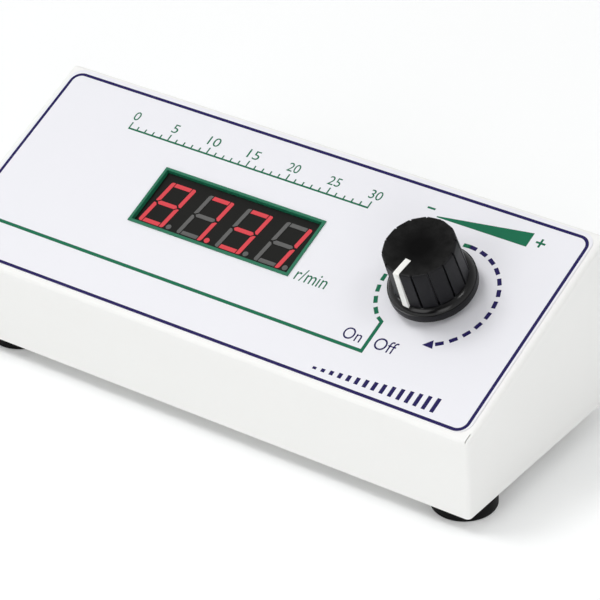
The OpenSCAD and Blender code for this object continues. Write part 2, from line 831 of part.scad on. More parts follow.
module rear_screws()
    color("silver") rear_screw_places() translate([0, 0, sheet_t]) pan_screw(screw_d, rear_screw_l);

// Mains inlet
module inlet_mouth()
    polygon([[-inlet_mouth_w / 2, -inlet_mouth_h / 2], [inlet_mouth_w / 2, -inlet_mouth_h / 2],
        [inlet_mouth_w / 2, inlet_mouth_h / 2 - inlet_mouth_cut],
        [inlet_mouth_w / 2 - inlet_mouth_cut, inlet_mouth_h / 2],
        [inlet_mouth_cut - inlet_mouth_w / 2, inlet_mouth_h / 2],
        [-inlet_mouth_w / 2, inlet_mouth_h / 2 - inlet_mouth_cut]]);

module inlet_screw_places() for (x = [-1, 1]) translate([x * inlet_screw_pitch / 2, 0, 0]) children();

module mains_inlet()
    color("#1e1e20") on_rear(inlet_x, connector_z) difference() {
        union() {
            linear_extrude(inlet_flange_t) round_rect(inlet_flange_w, inlet_flange_h, 4);
            translate([0, 0, -inlet_depth]) block([inlet_w, inlet_h, inlet_depth]);
        }
        translate([0, 0, inlet_back_t - inlet_depth])
            linear_extrude(inlet_depth + inlet_flange_t) inlet_mouth();
        for (at = blades_xz)
            translate([at[0], at[1], -inlet_depth - cut])
                block([blade_w + 2 * seat_gap, blade_h + 2 * seat_gap, inlet_back_t + 2 * cut]);
        inlet_screw_places() hole(screw_d + 2 * hole_gap, inlet_flange_t);
    }

module inlet_pins()
    color("silver") on_rear(inlet_x, connector_z) for (at = blades_xz)
        translate([at[0], at[1], -inlet_depth]) {
            block([blade_w, blade_h, inlet_back_t + blade_l]);
            translate([0, 0, -inlet_tag_l]) block([inlet_tag_t, blade_h, inlet_tag_l + cut]);
        }

module inlet_screws()
    color("silver") on_rear(inlet_x, connector_z) inlet_screw_places()
        translate([0, 0, inlet_flange_t]) pan_screw(screw_d, inlet_flange_t + chassis_t + nut_t + 1);

module inlet_nuts()
    color("silver") on_rear(inlet_x, connector_z) inlet_screw_places()
        translate([0, 0, -chassis_t - nut_t]) hex_nut(nut_af, nut_t, screw_d + 2 * seat_gap);

// Fuse holder, with the fuse in a carrier behind a turning cap
module fuse_holder()
    color("#1e1e20") on_rear(fuse_x, connector_z) difference() {
        union() {
            cylinder(d = fuse_flange_d, h = fuse_flange_t);
            translate([0, 0, -fuse_body_l]) cylinder(d = fuse_barrel_d, h = fuse_body_l);
        }
        translate([0, 0, fuse_back - fuse_end_gap]) cylinder(d = fuse_bore_d, h = fuse_l + 4 * fuse_flange_t);
    }

module fuse_holder_nut()
    color("#2a2a2c") on_rear(fuse_x, connector_z) translate([0, 0, -chassis_t - fuse_nut_t])
        hex_nut(fuse_nut_af, fuse_nut_t, fuse_barrel_d + 2 * seat_gap);

module fuse_terminals()
    color("silver") on_rear(fuse_x, connector_z) {
        translate([0, 0, -fuse_body_l - fuse_tag_l]) block([fuse_tag_w, inlet_tag_t, fuse_tag_l]);
        translate([-fuse_tag_w / 2, -fuse_barrel_d / 2 - fuse_tag_l, -fuse_body_l / 2])
            cube([fuse_tag_w, fuse_tag_l, inlet_tag_t]);
    }

module fuse_carrier()
    color("#2a2a2c") on_rear(fuse_x, connector_z) difference() {
        translate([0, 0, carrier_front - carrier_l]) cylinder(d = fuse_bore_d - 2 * run_gap, h = carrier_l);
        translate([0, 0, fuse_front - fuse_l]) cylinder(d = fuse_d + 2 * seat_gap, h = fuse_l);
    }

module fuse_link()
    color("lightsteelblue") on_rear(fuse_x, connector_z)
        translate([0, 0, fuse_back]) cylinder(d = fuse_d, h = fuse_l);

module fuse_cap()
    color("#1e1e20") on_rear(fuse_x, connector_z) {
        translate([0, 0, carrier_front + hole_gap])
            cylinder(d = cap_stem_d, h = fuse_flange_t + cap_clear + cut - carrier_front - hole_gap);
        translate([0, 0, fuse_flange_t + cap_clear]) difference() {
            cylinder(d = cap_d, h = fuse_cap_l);
            for (i = [0 : cap_ribs - 1])
                rotate([0, 0, i * 360 / cap_ribs]) translate([cap_d / 2, 0, cap_rim])
                    cylinder(d = cap_rib_d, h = fuse_cap_l, $fn = 16);
            translate([-cap_d, -coin_slot_w / 2, fuse_cap_l - coin_slot_depth])
                cube([2 * cap_d, coin_slot_w, coin_slot_depth + cut]);
        }
    }

// Motor socket
module socket_pin_places()
    for (i = [0 : socket_pin_count - 1])
        rotate([0, 0, 45 + i * 360 / socket_pin_count]) translate([socket_pin_pcd / 2, 0, 0]) children();

module motor_socket()
    color("silver") on_rear(socket_x, connector_z) difference() {
        union() {
            cylinder(d = socket_flange_d, h = socket_flange_t);
            translate([0, 0, -socket_inside]) cylinder(d = socket_d, h = socket_inside + socket_l);
        }
        translate([0, 0, -socket_inside]) hole(socket_bore_d, socket_inside + socket_l);
    }

module socket_insert()
    color("#242426") on_rear(socket_x, connector_z) translate([0, 0, socket_insert_back]) difference() {
        cylinder(d = socket_bore_d - 2 * seat_gap, h = socket_insert_front - socket_insert_back);
        socket_pin_places() hole(socket_pin_d + 2 * seat_gap, socket_insert_front - socket_insert_back);
    }

module socket_pins()
    color("gold") on_rear(socket_x, connector_z) translate([0, 0, socket_pin_back])
        socket_pin_places() cylinder(d = socket_pin_d, h = socket_pin_front - socket_pin_back, $fn = 32);

module socket_nut()
    color("silver") on_rear(socket_x, connector_z) translate([0, 0, -chassis_t - socket_nut_t])
        hex_nut(socket_nut_af, socket_nut_t, socket_d + 2 * seat_gap);

// Control board with its parts
module control_board()
    color("darkgreen") in_box() difference() {
        translate([board_x, board_mid_y, board_top - pcb_t]) block([board_w, board_d, pcb_t]);
        spacer_places() translate([0, 0, board_top - pcb_t]) hole(screw_d + 2 * hole_gap, pcb_t);
    }

module board_spacers()
    color("silver") in_box() spacer_places() translate([0, 0, chassis_t]) difference() {
        cylinder(d = spacer_d, h = spacer_h);
        translate([0, 0, cut]) hole(screw_d + 2 * hole_gap, spacer_h);
    }

module board_screws()
    color("silver") in_box() spacer_places() translate([0, 0, board_top])
        pan_screw(screw_d, board_screw_l);

module transformer()
    color("#2c3e6b") on_board(transformer_at) {
        block([transformer_size[0], transformer_size[1], transformer_size[2] - core_step]);
        block([transformer_size[0] - 2 * core_step, transformer_size[1] - core_step, transformer_size[2]]);
    }

module heat_sink()
    color("darkgray") on_board(sink_at) {
        translate([0, sink_size[1] / 2 - sink_base_t / 2, 0])
            block([sink_size[0], sink_base_t, sink_size[2]]);
        for (i = [0 : sink_fins - 1])
            translate([(i / (sink_fins - 1) - 0.5) * (sink_size[0] - sink_fin_t), 0, 0])
                block([sink_fin_t, sink_size[1], sink_size[2]]);
    }

module triac()
    color("#202022") on_board([sink_at[0], sink_at[1] + sink_size[1] / 2 + triac_size[1] / 2]) {
        translate([0, 0, triac_lift]) block(triac_size);
        for (x = [-1, 0, 1]) translate([x * pin_pitch, 0, 0]) block([triac_leg_w, pin_d, triac_lift + cut]);
    }

module capacitors() {
    color("gold") on_board(film_cap_at) block(film_cap_size);
    color("#22304a") on_board(can_cap_at) cylinder(d = can_cap_d, h = can_cap_h);
}

module choke()
    color("#7a4a22") on_board(choke_at) difference() {
        cylinder(d = choke_d, h = choke_h);
        hole(choke_hole_d, choke_h);
    }

module chips()
    color("#202022") {
        on_board(chip_at) block(chip_size);
        on_panel(display_x, display_s, display_back - pcb_t - driver_size[2]) block(driver_size);
    }

module terminal_block()
    color("forestgreen") on_board(block_at) difference() {
        block(block_size);
        for (i = [0 : block_ways - 1])
            translate([block_way_x(i), 0, block_size[2] - way_depth])
                cylinder(d = way_d, h = way_depth + cut);
    }

function block_way_x(i) = (i - (block_ways - 1) / 2) * block_size[0] / block_ways;

// Wires: a round tube swept along a smooth curve through its points
function curve_at(p, i, f) =
    let (a = p[max(i - 1, 0)], b = p[i], c = p[i + 1], d = p[min(i + 2, len(p) - 1)])
        b + f * (c - a) / 2 + f * f * (a - 2.5 * b + 2 * c - d / 2)
            + f * f * f * (1.5 * b - 1.5 * c + (d - a) / 2);
function curve(p) = concat(
    [for (i = [0 : len(p) - 2], k = [0 : wire_step - 1]) curve_at(p, i, k / wire_step)], [p[len(p) - 1]]);
function unit(v) = v / norm(v);
function heading(c, i) = unit(c[min(i + 1, len(c) - 1)] - c[max(i - 1, 0)]);
function ring(at, along, d) =
    let (side = unit(cross(along, [-5, -5, 7])), up = cross(side, along))
        [for (k = [0 : wire_sides - 1])
            at + d / 2 * (cos(k * 360 / wire_sides) * side + sin(k * 360 / wire_sides) * up)];

module wire(points, d = wire_d) {
    c = curve(points);
    last = len(c) - 1;
    n = wire_sides;
    polyhedron(
        [for (i = [0 : last], q = ring(c[i], heading(c, i), d)) q],
        concat([[for (k = [0 : n - 1]) k]], [[for (k = [n - 1 : -1 : 0]) last * n + k]],
            [for (i = [0 : last - 1], k = [0 : n - 1], half = [0, 1])
                let (m = (k + 1) % n)
                    half == 0 ? [i * n + k, (i + 1) * n + k, (i + 1) * n + m]
                        : [i * n + k, (i + 1) * n + m, i * n + m]]));
}

// Where wires start and end
function inlet_tag(i) =
    [inlet_x - blades_xz[i][0], rear_y - inlet_depth - inlet_tag_l - solder_gap,
        connector_z + blades_xz[i][1]];
function block_way(i) =
    [board_x + block_at[0] + block_way_x(i), board_y + block_at[1] + block_size[1] / 2 + solder_gap,
        board_top + way_h];
function socket_tail(a) =
    [socket_x - socket_pin_pcd / 2 * cos(a), rear_y + socket_pin_back - solder_gap,
        connector_z + socket_pin_pcd / 2 * sin(a)];
function pot_tag(i, reach, drop) =
    panel_point(knob_x + i * tag_pitch, knob_s - tongue_s - tag_l + tongue_l - hole_gap - reach,
        pot_top - track_t - tag_t / 2 - drop);
function board_pad(i) =
    [board_x + board_w / 2 + solder_gap, board_y + 13 - 3 * i, board_top - pcb_t / 2];
fuse_end = [fuse_x, rear_y - fuse_body_l - fuse_tag_l - solder_gap, connector_z];

module mains_leads()
    color("saddlebrown") in_box() {
        wire([inlet_tag(0), inlet_tag(0) - [0, 2.4, 0], inlet_tag(0) + [5, -3.2, 1.2],
            block_way(0) + [-11.75, -2.8, 5.2], block_way(0) + [-3.75, 4.2, 1.2], block_way(0) + [0, 4, 0],
            block_way(0)]);
        wire([inlet_tag(2), inlet_tag(2) - [0, 2, 0], inlet_tag(2) + [1, -2.5, 5],
            inlet_tag(2) + [4, -5, 9],
            panel_point(display_x - display_board_w / 2 - 3, board_edge_s - 2.1, -7.6),
            panel_point(display_x + 12, board_edge_s - 4.9, -6.4), fuse_end + [-10, -10.2, 4],
            fuse_end - [0, 4, 0], fuse_end]);
    }

module motor_leads()
    color("steelblue") in_box() for (i = [0, 1])
        wire([block_way(2 + i), block_way(2 + i) + [0, 4, 0],
            [block_way(2)[0] + 21.25 + 4 * i, rear_y - 5.5 - 3 * i, board_top + 2.2],
            [fuse_x + 11, rear_y - 5.5 - 3 * i, board_top + 2.2],
            [socket_x - 1 - 4 * i, rear_y - 9.5 - 2 * i, board_top + 1.2],
            [socket_x + 6 - 4 * i, rear_y - 20.5, board_top + 5.2],
            socket_tail(225 + 90 * i) - [0, 4, 0], socket_tail(225 + 90 * i)]);

module pot_leads()
    color("firebrick") in_box() for (i = [-1, 0, 1])
        wire([pot_tag(i, solder_gap, 0), pot_tag(i, 2, 0), pot_tag(i, 4, 1),
            [knob_x - 15.5 + 4 * i, board_y + 13 - 2 * i, board_top + 8.2],
            board_pad(i) + [10 - solder_gap, 0, 2], board_pad(i)]);

// Flat ribbon from the display board down to the control board
ribbon_from = panel_point(0, board_edge_s + ribbon_edge, display_back - pcb_t - solder_gap / 2);
ribbon_to = [0, ribbon_from[1] - 4, board_top + solder_gap / 2];
ribbon_x = board_x + ribbon_at;
function bend(a, b, c, d, f) =
    pow(1 - f, 3) * a + 3 * pow(1 - f, 2) * f * b + 3 * (1 - f) * f * f * c + pow(f, 3) * d;
ribbon_line = [for (k = [0 : ribbon_steps])
    bend([ribbon_from[1], ribbon_from[2]], [ribbon_from[1] + 4 * sin(slope), ribbon_from[2] - 4 * cos(slope)],
        [ribbon_to[1], ribbon_to[2] + 5], [ribbon_to[1], ribbon_to[2]], k / ribbon_steps)];
function beside(c, i, d) = let (v = heading(c, i)) c[i] + d * [-v[1], v[0]];

module display_ribbon()
    color("slategray") in_box() translate([ribbon_x, 0, 0]) rotate([90, 0, 90])
        linear_extrude(ribbon_w, center = true) polygon(concat(
            [for (i = [0 : ribbon_steps]) beside(ribbon_line, i, ribbon_t / 2)],
            [for (i = [ribbon_steps : -1 : 0]) beside(ribbon_line, i, -ribbon_t / 2)]));

cover();
chassis();
panel_film();
display_bezel();
display_module();
lit_segments();
dark_segments();
display_pins();
display_board();
display_studs();
display_screws();
pot_bushing();
pot_can();
pot_track();
pot_terminals();
pot_switch();
pot_washer();
pot_nut();
pot_shaft();
pot_wiper();
knob();
knob_pointer();
knob_insert();
foot_front_left();
foot_front_right();
foot_rear_left();
foot_rear_right();
foot_screws();
foot_nuts();
base_screws();
rear_screws();
mains_inlet();
inlet_pins();
inlet_screws();
inlet_nuts();
fuse_holder();
fuse_holder_nut();
fuse_terminals();
fuse_carrier();
fuse_link();
fuse_cap();
motor_socket();
socket_insert();
socket_pins();
socket_nut();
control_board();
board_spacers();
board_screws();
transformer();
heat_sink();
triac();
capacitors();
choke();
chips();
terminal_block();
mains_leads();
motor_leads();
pot_leads();
display_ribbon();
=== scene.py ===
"""Looks of a homogenizer's speed-control box: painted sheet metal, printed film, LED digits, fluted knob."""

import json
import math

import bmesh
import bpy
from mathutils import Matrix, Vector


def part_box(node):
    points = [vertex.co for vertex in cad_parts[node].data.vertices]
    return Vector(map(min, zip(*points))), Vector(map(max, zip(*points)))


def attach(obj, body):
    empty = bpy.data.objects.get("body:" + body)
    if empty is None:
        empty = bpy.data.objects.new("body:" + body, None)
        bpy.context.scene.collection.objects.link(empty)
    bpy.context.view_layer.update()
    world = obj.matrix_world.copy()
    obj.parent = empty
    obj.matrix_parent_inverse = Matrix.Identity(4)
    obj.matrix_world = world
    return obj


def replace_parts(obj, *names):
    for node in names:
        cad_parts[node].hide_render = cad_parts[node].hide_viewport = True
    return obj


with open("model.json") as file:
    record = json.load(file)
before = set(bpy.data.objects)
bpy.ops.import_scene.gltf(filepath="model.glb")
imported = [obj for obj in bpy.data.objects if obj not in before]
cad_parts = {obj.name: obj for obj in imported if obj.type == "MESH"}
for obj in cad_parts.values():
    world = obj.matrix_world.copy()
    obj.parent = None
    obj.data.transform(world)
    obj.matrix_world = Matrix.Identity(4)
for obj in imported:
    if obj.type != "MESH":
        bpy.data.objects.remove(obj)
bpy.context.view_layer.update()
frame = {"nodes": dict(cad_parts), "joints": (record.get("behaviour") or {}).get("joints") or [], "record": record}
bpy.context.scene.view_settings.view_transform = "Standard"

MM = 0.001


def box_mm(node):
    """Lowest and highest corner of a node at rest, in millimetres."""
    low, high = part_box(node)
    return low / MM, high / MM


def middle_mm(node):
    """Middle of a node's box at rest, in millimetres."""
    low, high = box_mm(node)
    return (low + high) / 2


# The panel and the knob's axis on it, from the knob's joint and the cover's front edge
KNOB_JOINT = next(joint for joint in frame["joints"] if joint["name"] == "knob_turn")
KNOB_AT = Vector(KNOB_JOINT["pos_m"]) / MM
SLOPE = math.atan2(KNOB_JOINT["axis"][1], -KNOB_JOINT["axis"][2])
FRONT_Y = box_mm("cover")[0].y
KNOB_S = (KNOB_AT.y - FRONT_Y) / math.cos(SLOPE)
CREASE_Z = KNOB_AT.z - KNOB_S * math.sin(SLOPE)
PANEL = Matrix.Translation(Vector((0, FRONT_Y, CREASE_Z)) * MM) @ Matrix.Rotation(SLOPE, 4, "X")

# Print sizes on the panel film, in millimetres: x across, s up the slope
FILM_T = 0.25
INK_T = 0.02
MERGE_GAP = 0.0005
BORDER_X = 84.5
BORDER_LOW = 2.4
BORDER_HIGH = 66.6
BORDER_R = 3.0
BORDER_LINE = 0.9
CORNER_STEPS = 12
RULE_S = 14.1
RULE_END_X = 46.5
RULE_TURN_S = 24.0
RULE_LINE = 1.0
SCALE_FIRST_X = -57.5
SCALE_LAST_X = 22.6
SCALE_S = 54.7
SCALE_LINE = 0.55
SCALE_STEPS = 30
TICK_W = 0.42
TICK_H = 1.1
TICK_FOOT = 0.2
TALL_TICK_EXTRA = 0.9
NUMBER_EVERY = 5
FIGURE_HALF_W = 0.95
NUMBER_LOW = 3.0
NUMBER_HIGH = 5.9

# The dial ring round the knob, in millimetres; its angles run clockwise from straight up, in degrees
RING_X = 55.5
RING_S = 37.1
RING_R = 16.2
RING_STROKE = 1.15
DASH = 2.25
RULE_MEETS_RING = 221.5
GREEN_RUN = {"start": 229.6, "step": 12.8, "count": 11}
NAVY_RUN = {"start": 4.2, "step": 12.92, "count": 12}
ARROW_FOOT = 152.2
ARROW_TIP = 162.4
ARROW_HALF = 1.35

# Signs and words on the film: corners (x, s), bars (x0, x1, s0, s1) and word places, in millimetres
RAMP = ((42.0, 58.6), (69.5, 58.6), (69.5, 63.2), (42.0, 58.95))
MINUS = (38.0, 40.4, 60.4, 61.0)
PLUS = ((71.2, 74.0, 60.6, 61.2), (72.3, 72.9, 59.5, 60.6), (72.3, 72.9, 61.2, 62.3))
UNIT_PLACE = (16.4, 26.2, 27.2, 31.2)
ON_PLACE = (38.8, 44.4, 16.0, 19.6)
OFF_PLACE = (48.4, 54.9, 16.0, 19.7)
BARS_AT = (37.8, 4.6)
BARS = {"Count": 15, "Step": 2.56, "Width": 1.15, "Height": 0.8, "Rise": 0.26}
NO_TALL_ONES = {"Tall Every": 50.0, "Tall Extra": 0.0}


def on_panel(x, s, h=0.0):
    """Matrix of a place on the sloping panel: x across, s up the slope, h out of it, in millimetres."""
    return PANEL @ Matrix.Translation(Vector((x, s, h)) * MM)


def facing_back(x, y, z):
    """Matrix of a place at the back with its Z axis pointing backwards, in millimetres."""
    turn = Matrix.Rotation(math.pi, 4, "Z") @ Matrix.Rotation(math.pi / 2, 4, "X")
    return Matrix.Translation(Vector((x, y, z)) * MM) @ turn


def facing_down(z):
    """Matrix of a level place with its Z axis pointing down, in millimetres."""
    return Matrix.Translation((0, 0, z * MM)) @ Matrix.Rotation(math.pi, 4, "X")


def srgb(r, g, b):
    """An 8-bit colour as the linear colour that shader sockets take."""
    linear = [c / 255 / 12.92 if c <= 10.3 else ((c / 255 + 0.055) / 1.055) ** 2.4 for c in (r, g, b)]
    return (*linear, 1.0)


def add(tree, kind, ins=None, **settings):
    """A new node with its settings, and its sockets linked or set."""
    node = tree.nodes.new(kind)
    for key, value in settings.items():
        setattr(node, key, value)
    for key, value in (ins or {}).items():
        if isinstance(value, bpy.types.NodeSocket):
            tree.links.new(value, node.inputs[key])
        else:
            node.inputs[key].default_value = value
    return node


def maths(tree, operation, *values):
    """The result of a Math node on values or sockets."""
    return add(tree, "ShaderNodeMath", dict(enumerate(values)), operation=operation).outputs[0]


def sockets(tree, ins, outs):
    """Named sockets of a node group, with its input sockets and its output node."""
    for name, kind, value in ins:
        socket = tree.interface.new_socket(name, in_out="INPUT", socket_type=kind)
        if value is not None:
            socket.default_value = value
    for name, kind in outs:
        tree.interface.new_socket(name, in_out="OUTPUT", socket_type=kind)
    return tree.nodes.new("NodeGroupInput").outputs, tree.nodes.new("NodeGroupOutput")


FLOAT = "NodeSocketFloat"
COLOUR = "NodeSocketColor"
VECTOR = "NodeSocketVector"
GEOMETRY = "NodeSocketGeometry"
INTEGER = "NodeSocketInt"
MATERIAL = "NodeSocketMaterial"


def make_surface_grain():
    """Coated and moulded surfaces: slow patches of tone, a fine grain and uneven gloss."""
    tree = bpy.data.node_groups.new("surface_grain", "ShaderNodeTree")
    ins, out = sockets(
        tree,
        [("Vector", VECTOR, None), ("Colour", COLOUR, None), ("Tone Drift", FLOAT, 0.05),
         ("Roughness", FLOAT, 0.5), ("Gloss Drift", FLOAT, 0.1), ("Patch Scale", FLOAT, 40.0),
         ("Grain Scale", FLOAT, 1500.0)],
        [("Colour", COLOUR), ("Roughness", FLOAT), ("Height", FLOAT)])
    patches = add(tree, "ShaderNodeTexNoise", {
        "Vector": ins["Vector"], "Scale": ins["Patch Scale"], "Detail": 4.0})
    grain = add(tree, "ShaderNodeTexNoise", {
        "Vector": ins["Vector"], "Scale": ins["Grain Scale"], "Detail": 3.0})
    patch = maths(tree, "SUBTRACT", patches.outputs["Fac"], 0.5)
    speck = maths(tree, "SUBTRACT", grain.outputs["Fac"], 0.5)
    mixed = maths(tree, "MULTIPLY_ADD", speck, 0.35, patch)
    tone = maths(tree, "MULTIPLY_ADD", mixed, ins["Tone Drift"], 1.0)
    tinted = add(tree, "ShaderNodeVectorMath", {0: ins["Colour"], "Scale": tone}, operation="SCALE")
    gloss = maths(tree, "MULTIPLY_ADD", patch, ins["Gloss Drift"], ins["Roughness"])
    tree.links.new(tinted.outputs[0], out.inputs["Colour"])
    tree.links.new(gloss, out.inputs["Roughness"])
    tree.links.new(grain.outputs["Fac"], out.inputs["Height"])
    return tree


def make_drawn_metal():
    """Bare metal: fine lines along one axis and a little tarnish."""
    tree = bpy.data.node_groups.new("drawn_metal", "ShaderNodeTree")
    ins, out = sockets(
        tree,
        [("Vector", VECTOR, None), ("Colour", COLOUR, None), ("Stretch", VECTOR, (1.0, 1.0, 0.05)),
         ("Roughness", FLOAT, 0.3), ("Line Scale", FLOAT, 3000.0)],
        [("Colour", COLOUR), ("Roughness", FLOAT), ("Height", FLOAT)])
    along = add(tree, "ShaderNodeVectorMath", {0: ins["Vector"], 1: ins["Stretch"]}, operation="MULTIPLY")
    lines = add(tree, "ShaderNodeTexNoise", {
        "Vector": along.outputs[0], "Scale": ins["Line Scale"], "Detail": 2.0})
    tarnish = add(tree, "ShaderNodeTexNoise", {"Vector": ins["Vector"], "Scale": 180.0, "Detail": 4.0})
    shade = add(tree, "ShaderNodeMapRange", {"Value": tarnish.outputs["Fac"], "To Min": 0.82, "To Max": 1.08})
    tinted = add(tree, "ShaderNodeVectorMath", {
        0: ins["Colour"], "Scale": shade.outputs[0]}, operation="SCALE")
    uneven = maths(tree, "MULTIPLY_ADD", lines.outputs["Fac"], 0.18, ins["Roughness"])
    tree.links.new(tinted.outputs[0], out.inputs["Colour"])
    tree.links.new(uneven, out.inputs["Roughness"])
    tree.links.new(lines.outputs["Fac"], out.inputs["Height"])
    return tree


SURFACE_GRAIN = make_surface_grain()
DRAWN_METAL = make_drawn_metal()


def start_material(name, group, values, bump):
    """A material whose colour, gloss and relief come from a group; bump is (strength, depth in metres)."""
    material = bpy.data.materials.new(name)
    material.use_nodes = True
    tree = material.node_tree
    shader = tree.nodes["Principled BSDF"]
    place = add(tree, "ShaderNodeTexCoord")
    surface = add(tree, "ShaderNodeGroup", node_tree=group)
    tree.links.new(place.outputs["Object"], surface.inputs["Vector"])
    for key, value in values.items():
        surface.inputs[key].default_value = value
    relief = add(tree, "ShaderNodeBump", {
        "Strength": bump[0], "Distance": bump[1], "Height": surface.outputs["Height"]})
    tree.links.new(surface.outputs["Colour"], shader.inputs["Base Color"])
    tree.links.new(surface.outputs["Roughness"], shader.inputs["Roughness"])
    tree.links.new(relief.outputs["Normal"], shader.inputs["Normal"])
    return material, shader, surface


def coated(name, colour, rough, drift=0.05, gloss_drift=0.1, patch=40.0, grain=1500.0, bump=(0.15, 0.00003),
           shine=0.5):
    """Paint, film, ink, rubber and plastic; shine is the specular level."""
    values = {"Colour": srgb(*colour), "Tone Drift": drift, "Roughness": rough, "Gloss Drift": gloss_drift,
              "Patch Scale": patch, "Grain Scale": grain}
    material, shader, _ = start_material(name, SURFACE_GRAIN, values, bump)
    shader.inputs["Specular IOR Level"].default_value = shine
    return material


def metal(name, colour, rough, stretch=(1.0, 1.0, 0.05), lines=3000.0):
    """Bare or plated metal."""
    values = {"Colour": srgb(*colour), "Stretch": stretch, "Roughness": rough, "Line Scale": lines}
    material, shader, _ = start_material(name, DRAWN_METAL, values, (0.08, 0.00001))
    shader.inputs["Metallic"].default_value = 1.0
    return material


def glowing(name, body, glow):
    """A lit LED segment: tinted resin with a glow that is a little uneven."""
    values = {"Colour": srgb(*body), "Tone Drift": 0.2, "Roughness": 0.45, "Gloss Drift": 0.1,
              "Patch Scale": 350.0, "Grain Scale": 4000.0}
    material, shader, surface = start_material(name, SURFACE_GRAIN, values, (0.05, 0.00001))
    tree = material.node_tree
    uneven = maths(tree, "MULTIPLY_ADD", surface.outputs["Height"], 0.3, 0.85)
    light = add(tree, "ShaderNodeVectorMath", {0: srgb(*glow)[:3], "Scale": uneven}, operation="SCALE")
    tree.links.new(light.outputs[0], shader.inputs["Emission Color"])
    shader.inputs["Emission Strength"].default_value = 0.95
    shader.inputs["Specular IOR Level"].default_value = 0.1
    return material


def clear_glass(name):
    """The fuse's glass tube."""
    values = {"Colour": srgb(225, 232, 235), "Tone Drift": 0.03, "Roughness": 0.06, "Gloss Drift": 0.03,
              "Patch Scale": 90.0, "Grain Scale": 800.0}
    material, shader, _ = start_material(name, SURFACE_GRAIN, values, (0.02, 0.00001))
    shader.inputs["Transmission Weight"].default_value = 0.85
    shader.inputs["IOR"].default_value = 1.5
    return material


def sleeve(name, colour):
    """Soft insulation of a lead."""
    return coated(name, colour, 0.42, drift=0.15, patch=300.0, grain=2400.0)


def ink(name, colour):
    """Screen-printed ink on the film."""
    return coated(name, colour, 0.55, drift=0.12, patch=300.0, grain=2600.0, bump=(0.05, 0.00001), shine=0.1)


FINISHES = {
    "white_paint": coated("white_powder_coat", (241, 241, 239), 0.42, drift=0.02, patch=14.0, grain=1300.0,
                          bump=(0.06, 0.00003)),
    "grey_paint": coated("chassis_coat", (222, 222, 218), 0.46, drift=0.03, patch=20.0, grain=1300.0,
                         bump=(0.08, 0.00003)),
    "film": coated("panel_film_satin", (234, 234, 239), 0.4, drift=0.025, patch=26.0, grain=2400.0,
                   bump=(0.04, 0.00002), shine=0.3),
    "green_plastic": coated("frame_green", (28, 112, 82), 0.4, drift=0.10, patch=120.0, grain=2200.0,
                            shine=0.2),
    "display_black": coated("display_face", (24, 24, 22), 0.55, drift=0.15, patch=160.0, grain=3200.0,
                            shine=0.1),
    "segment_red": glowing("segment_lit", (66, 13, 15), (216, 72, 80)),
    "segment_grey": coated("segment_unlit", (98, 98, 97), 0.5, drift=0.12, patch=420.0, grain=3600.0,
                           shine=0.1),
    "knob_black": coated("knob_side", (15, 15, 18), 0.42, drift=0.15, grain=2800.0, bump=(0.25, 0.00003),
                         shine=0.2),
    "pointer_white": coated("pointer_ink", (238, 238, 234), 0.45, drift=0.05, patch=300.0, grain=3000.0),
    "rubber": coated("foot_rubber", (12, 12, 13), 0.6, drift=0.3, gloss_drift=0.2, patch=260.0, grain=2400.0,
                     bump=(0.35, 0.00004), shine=0.1),
    "black_plastic": coated("moulded_black", (31, 31, 32), 0.46, drift=0.12, grain=2600.0,
                            bump=(0.22, 0.00003), shine=0.3),
    "steel": metal("zinc_steel", (196, 197, 198), 0.26),
    "nickel": metal("nickel_plate", (205, 201, 192), 0.2, stretch=(1.0, 0.06, 1.0)),
    "aluminium": metal("milled_aluminium", (200, 201, 203), 0.36),
    "brass": metal("turned_brass", (206, 168, 92), 0.28, stretch=(1.0, 0.06, 1.0)),
    "fuse_glass": clear_glass("fuse_tube"),
    "board_green": coated("board_mask", (22, 84, 44), 0.34, drift=0.22, patch=300.0, grain=1800.0),
    "phenolic": coated("track_laminate", (112, 66, 34), 0.5, drift=0.25, patch=400.0, grain=2600.0),
    "core_blue": coated("core_wrap", (46, 64, 108), 0.5, drift=0.2, patch=220.0, grain=2000.0),
    "capacitor_yellow": coated("capacitor_dip", (214, 172, 52), 0.38, drift=0.12, patch=240.0, grain=1800.0),
    "winding_brown": coated("choke_lacquer", (122, 74, 36), 0.32, drift=0.3, patch=500.0, grain=2400.0),
    "block_green": coated("terminal_green", (38, 130, 58), 0.42, drift=0.12, patch=200.0, grain=2200.0),
    "lead_brown": sleeve("lead_sleeve_brown", (112, 70, 38)),
    "lead_blue": sleeve("lead_sleeve_blue", (62, 106, 164)),
    "lead_red": sleeve("lead_sleeve_red", (164, 40, 38)),
    "ribbon_grey": sleeve("ribbon_sleeve", (118, 128, 142))}
NAVY_INK = ink("navy_ink", (36, 29, 86))
GREEN_INK = ink("green_ink", (24, 108, 77))
KNOB_SKIRT = coated("knob_skirt", (5, 5, 6), 0.19, drift=0.3, grain=2600.0, bump=(0.1, 0.00002), shine=0.36)


def worn_top(name, centre, dark_r, rim_r, rim_gain):
    """The knob's dished top: black in the middle, with painted sheen that greys it towards its rim, in metres."""
    values = {"Colour": srgb(4, 4, 4), "Tone Drift": 2.2, "Roughness": 0.7, "Gloss Drift": 0.15,
              "Patch Scale": 420.0, "Grain Scale": 1900.0}
    material, shader, surface = start_material(name, SURFACE_GRAIN, values, (0.5, 0.00004))
    shader.inputs["Specular IOR Level"].default_value = 0.06
    tree = material.node_tree
    place = add(tree, "ShaderNodeTexCoord")
    off = add(tree, "ShaderNodeVectorMath", {0: place.outputs["Object"], 1: centre}, operation="DISTANCE")
    # Painted sheen: the colour is lightened towards the rim, where the dish would reflect the room
    gain = add(tree, "ShaderNodeMapRange", {
        "Value": off.outputs["Value"], "From Min": dark_r, "From Max": rim_r,
        "To Min": 1.0, "To Max": rim_gain})
    greyed = add(tree, "ShaderNodeVectorMath", {
        0: surface.outputs["Colour"], "Scale": gain.outputs[0]}, operation="SCALE")
    tree.links.new(greyed.outputs[0], shader.inputs["Base Color"])
    return material


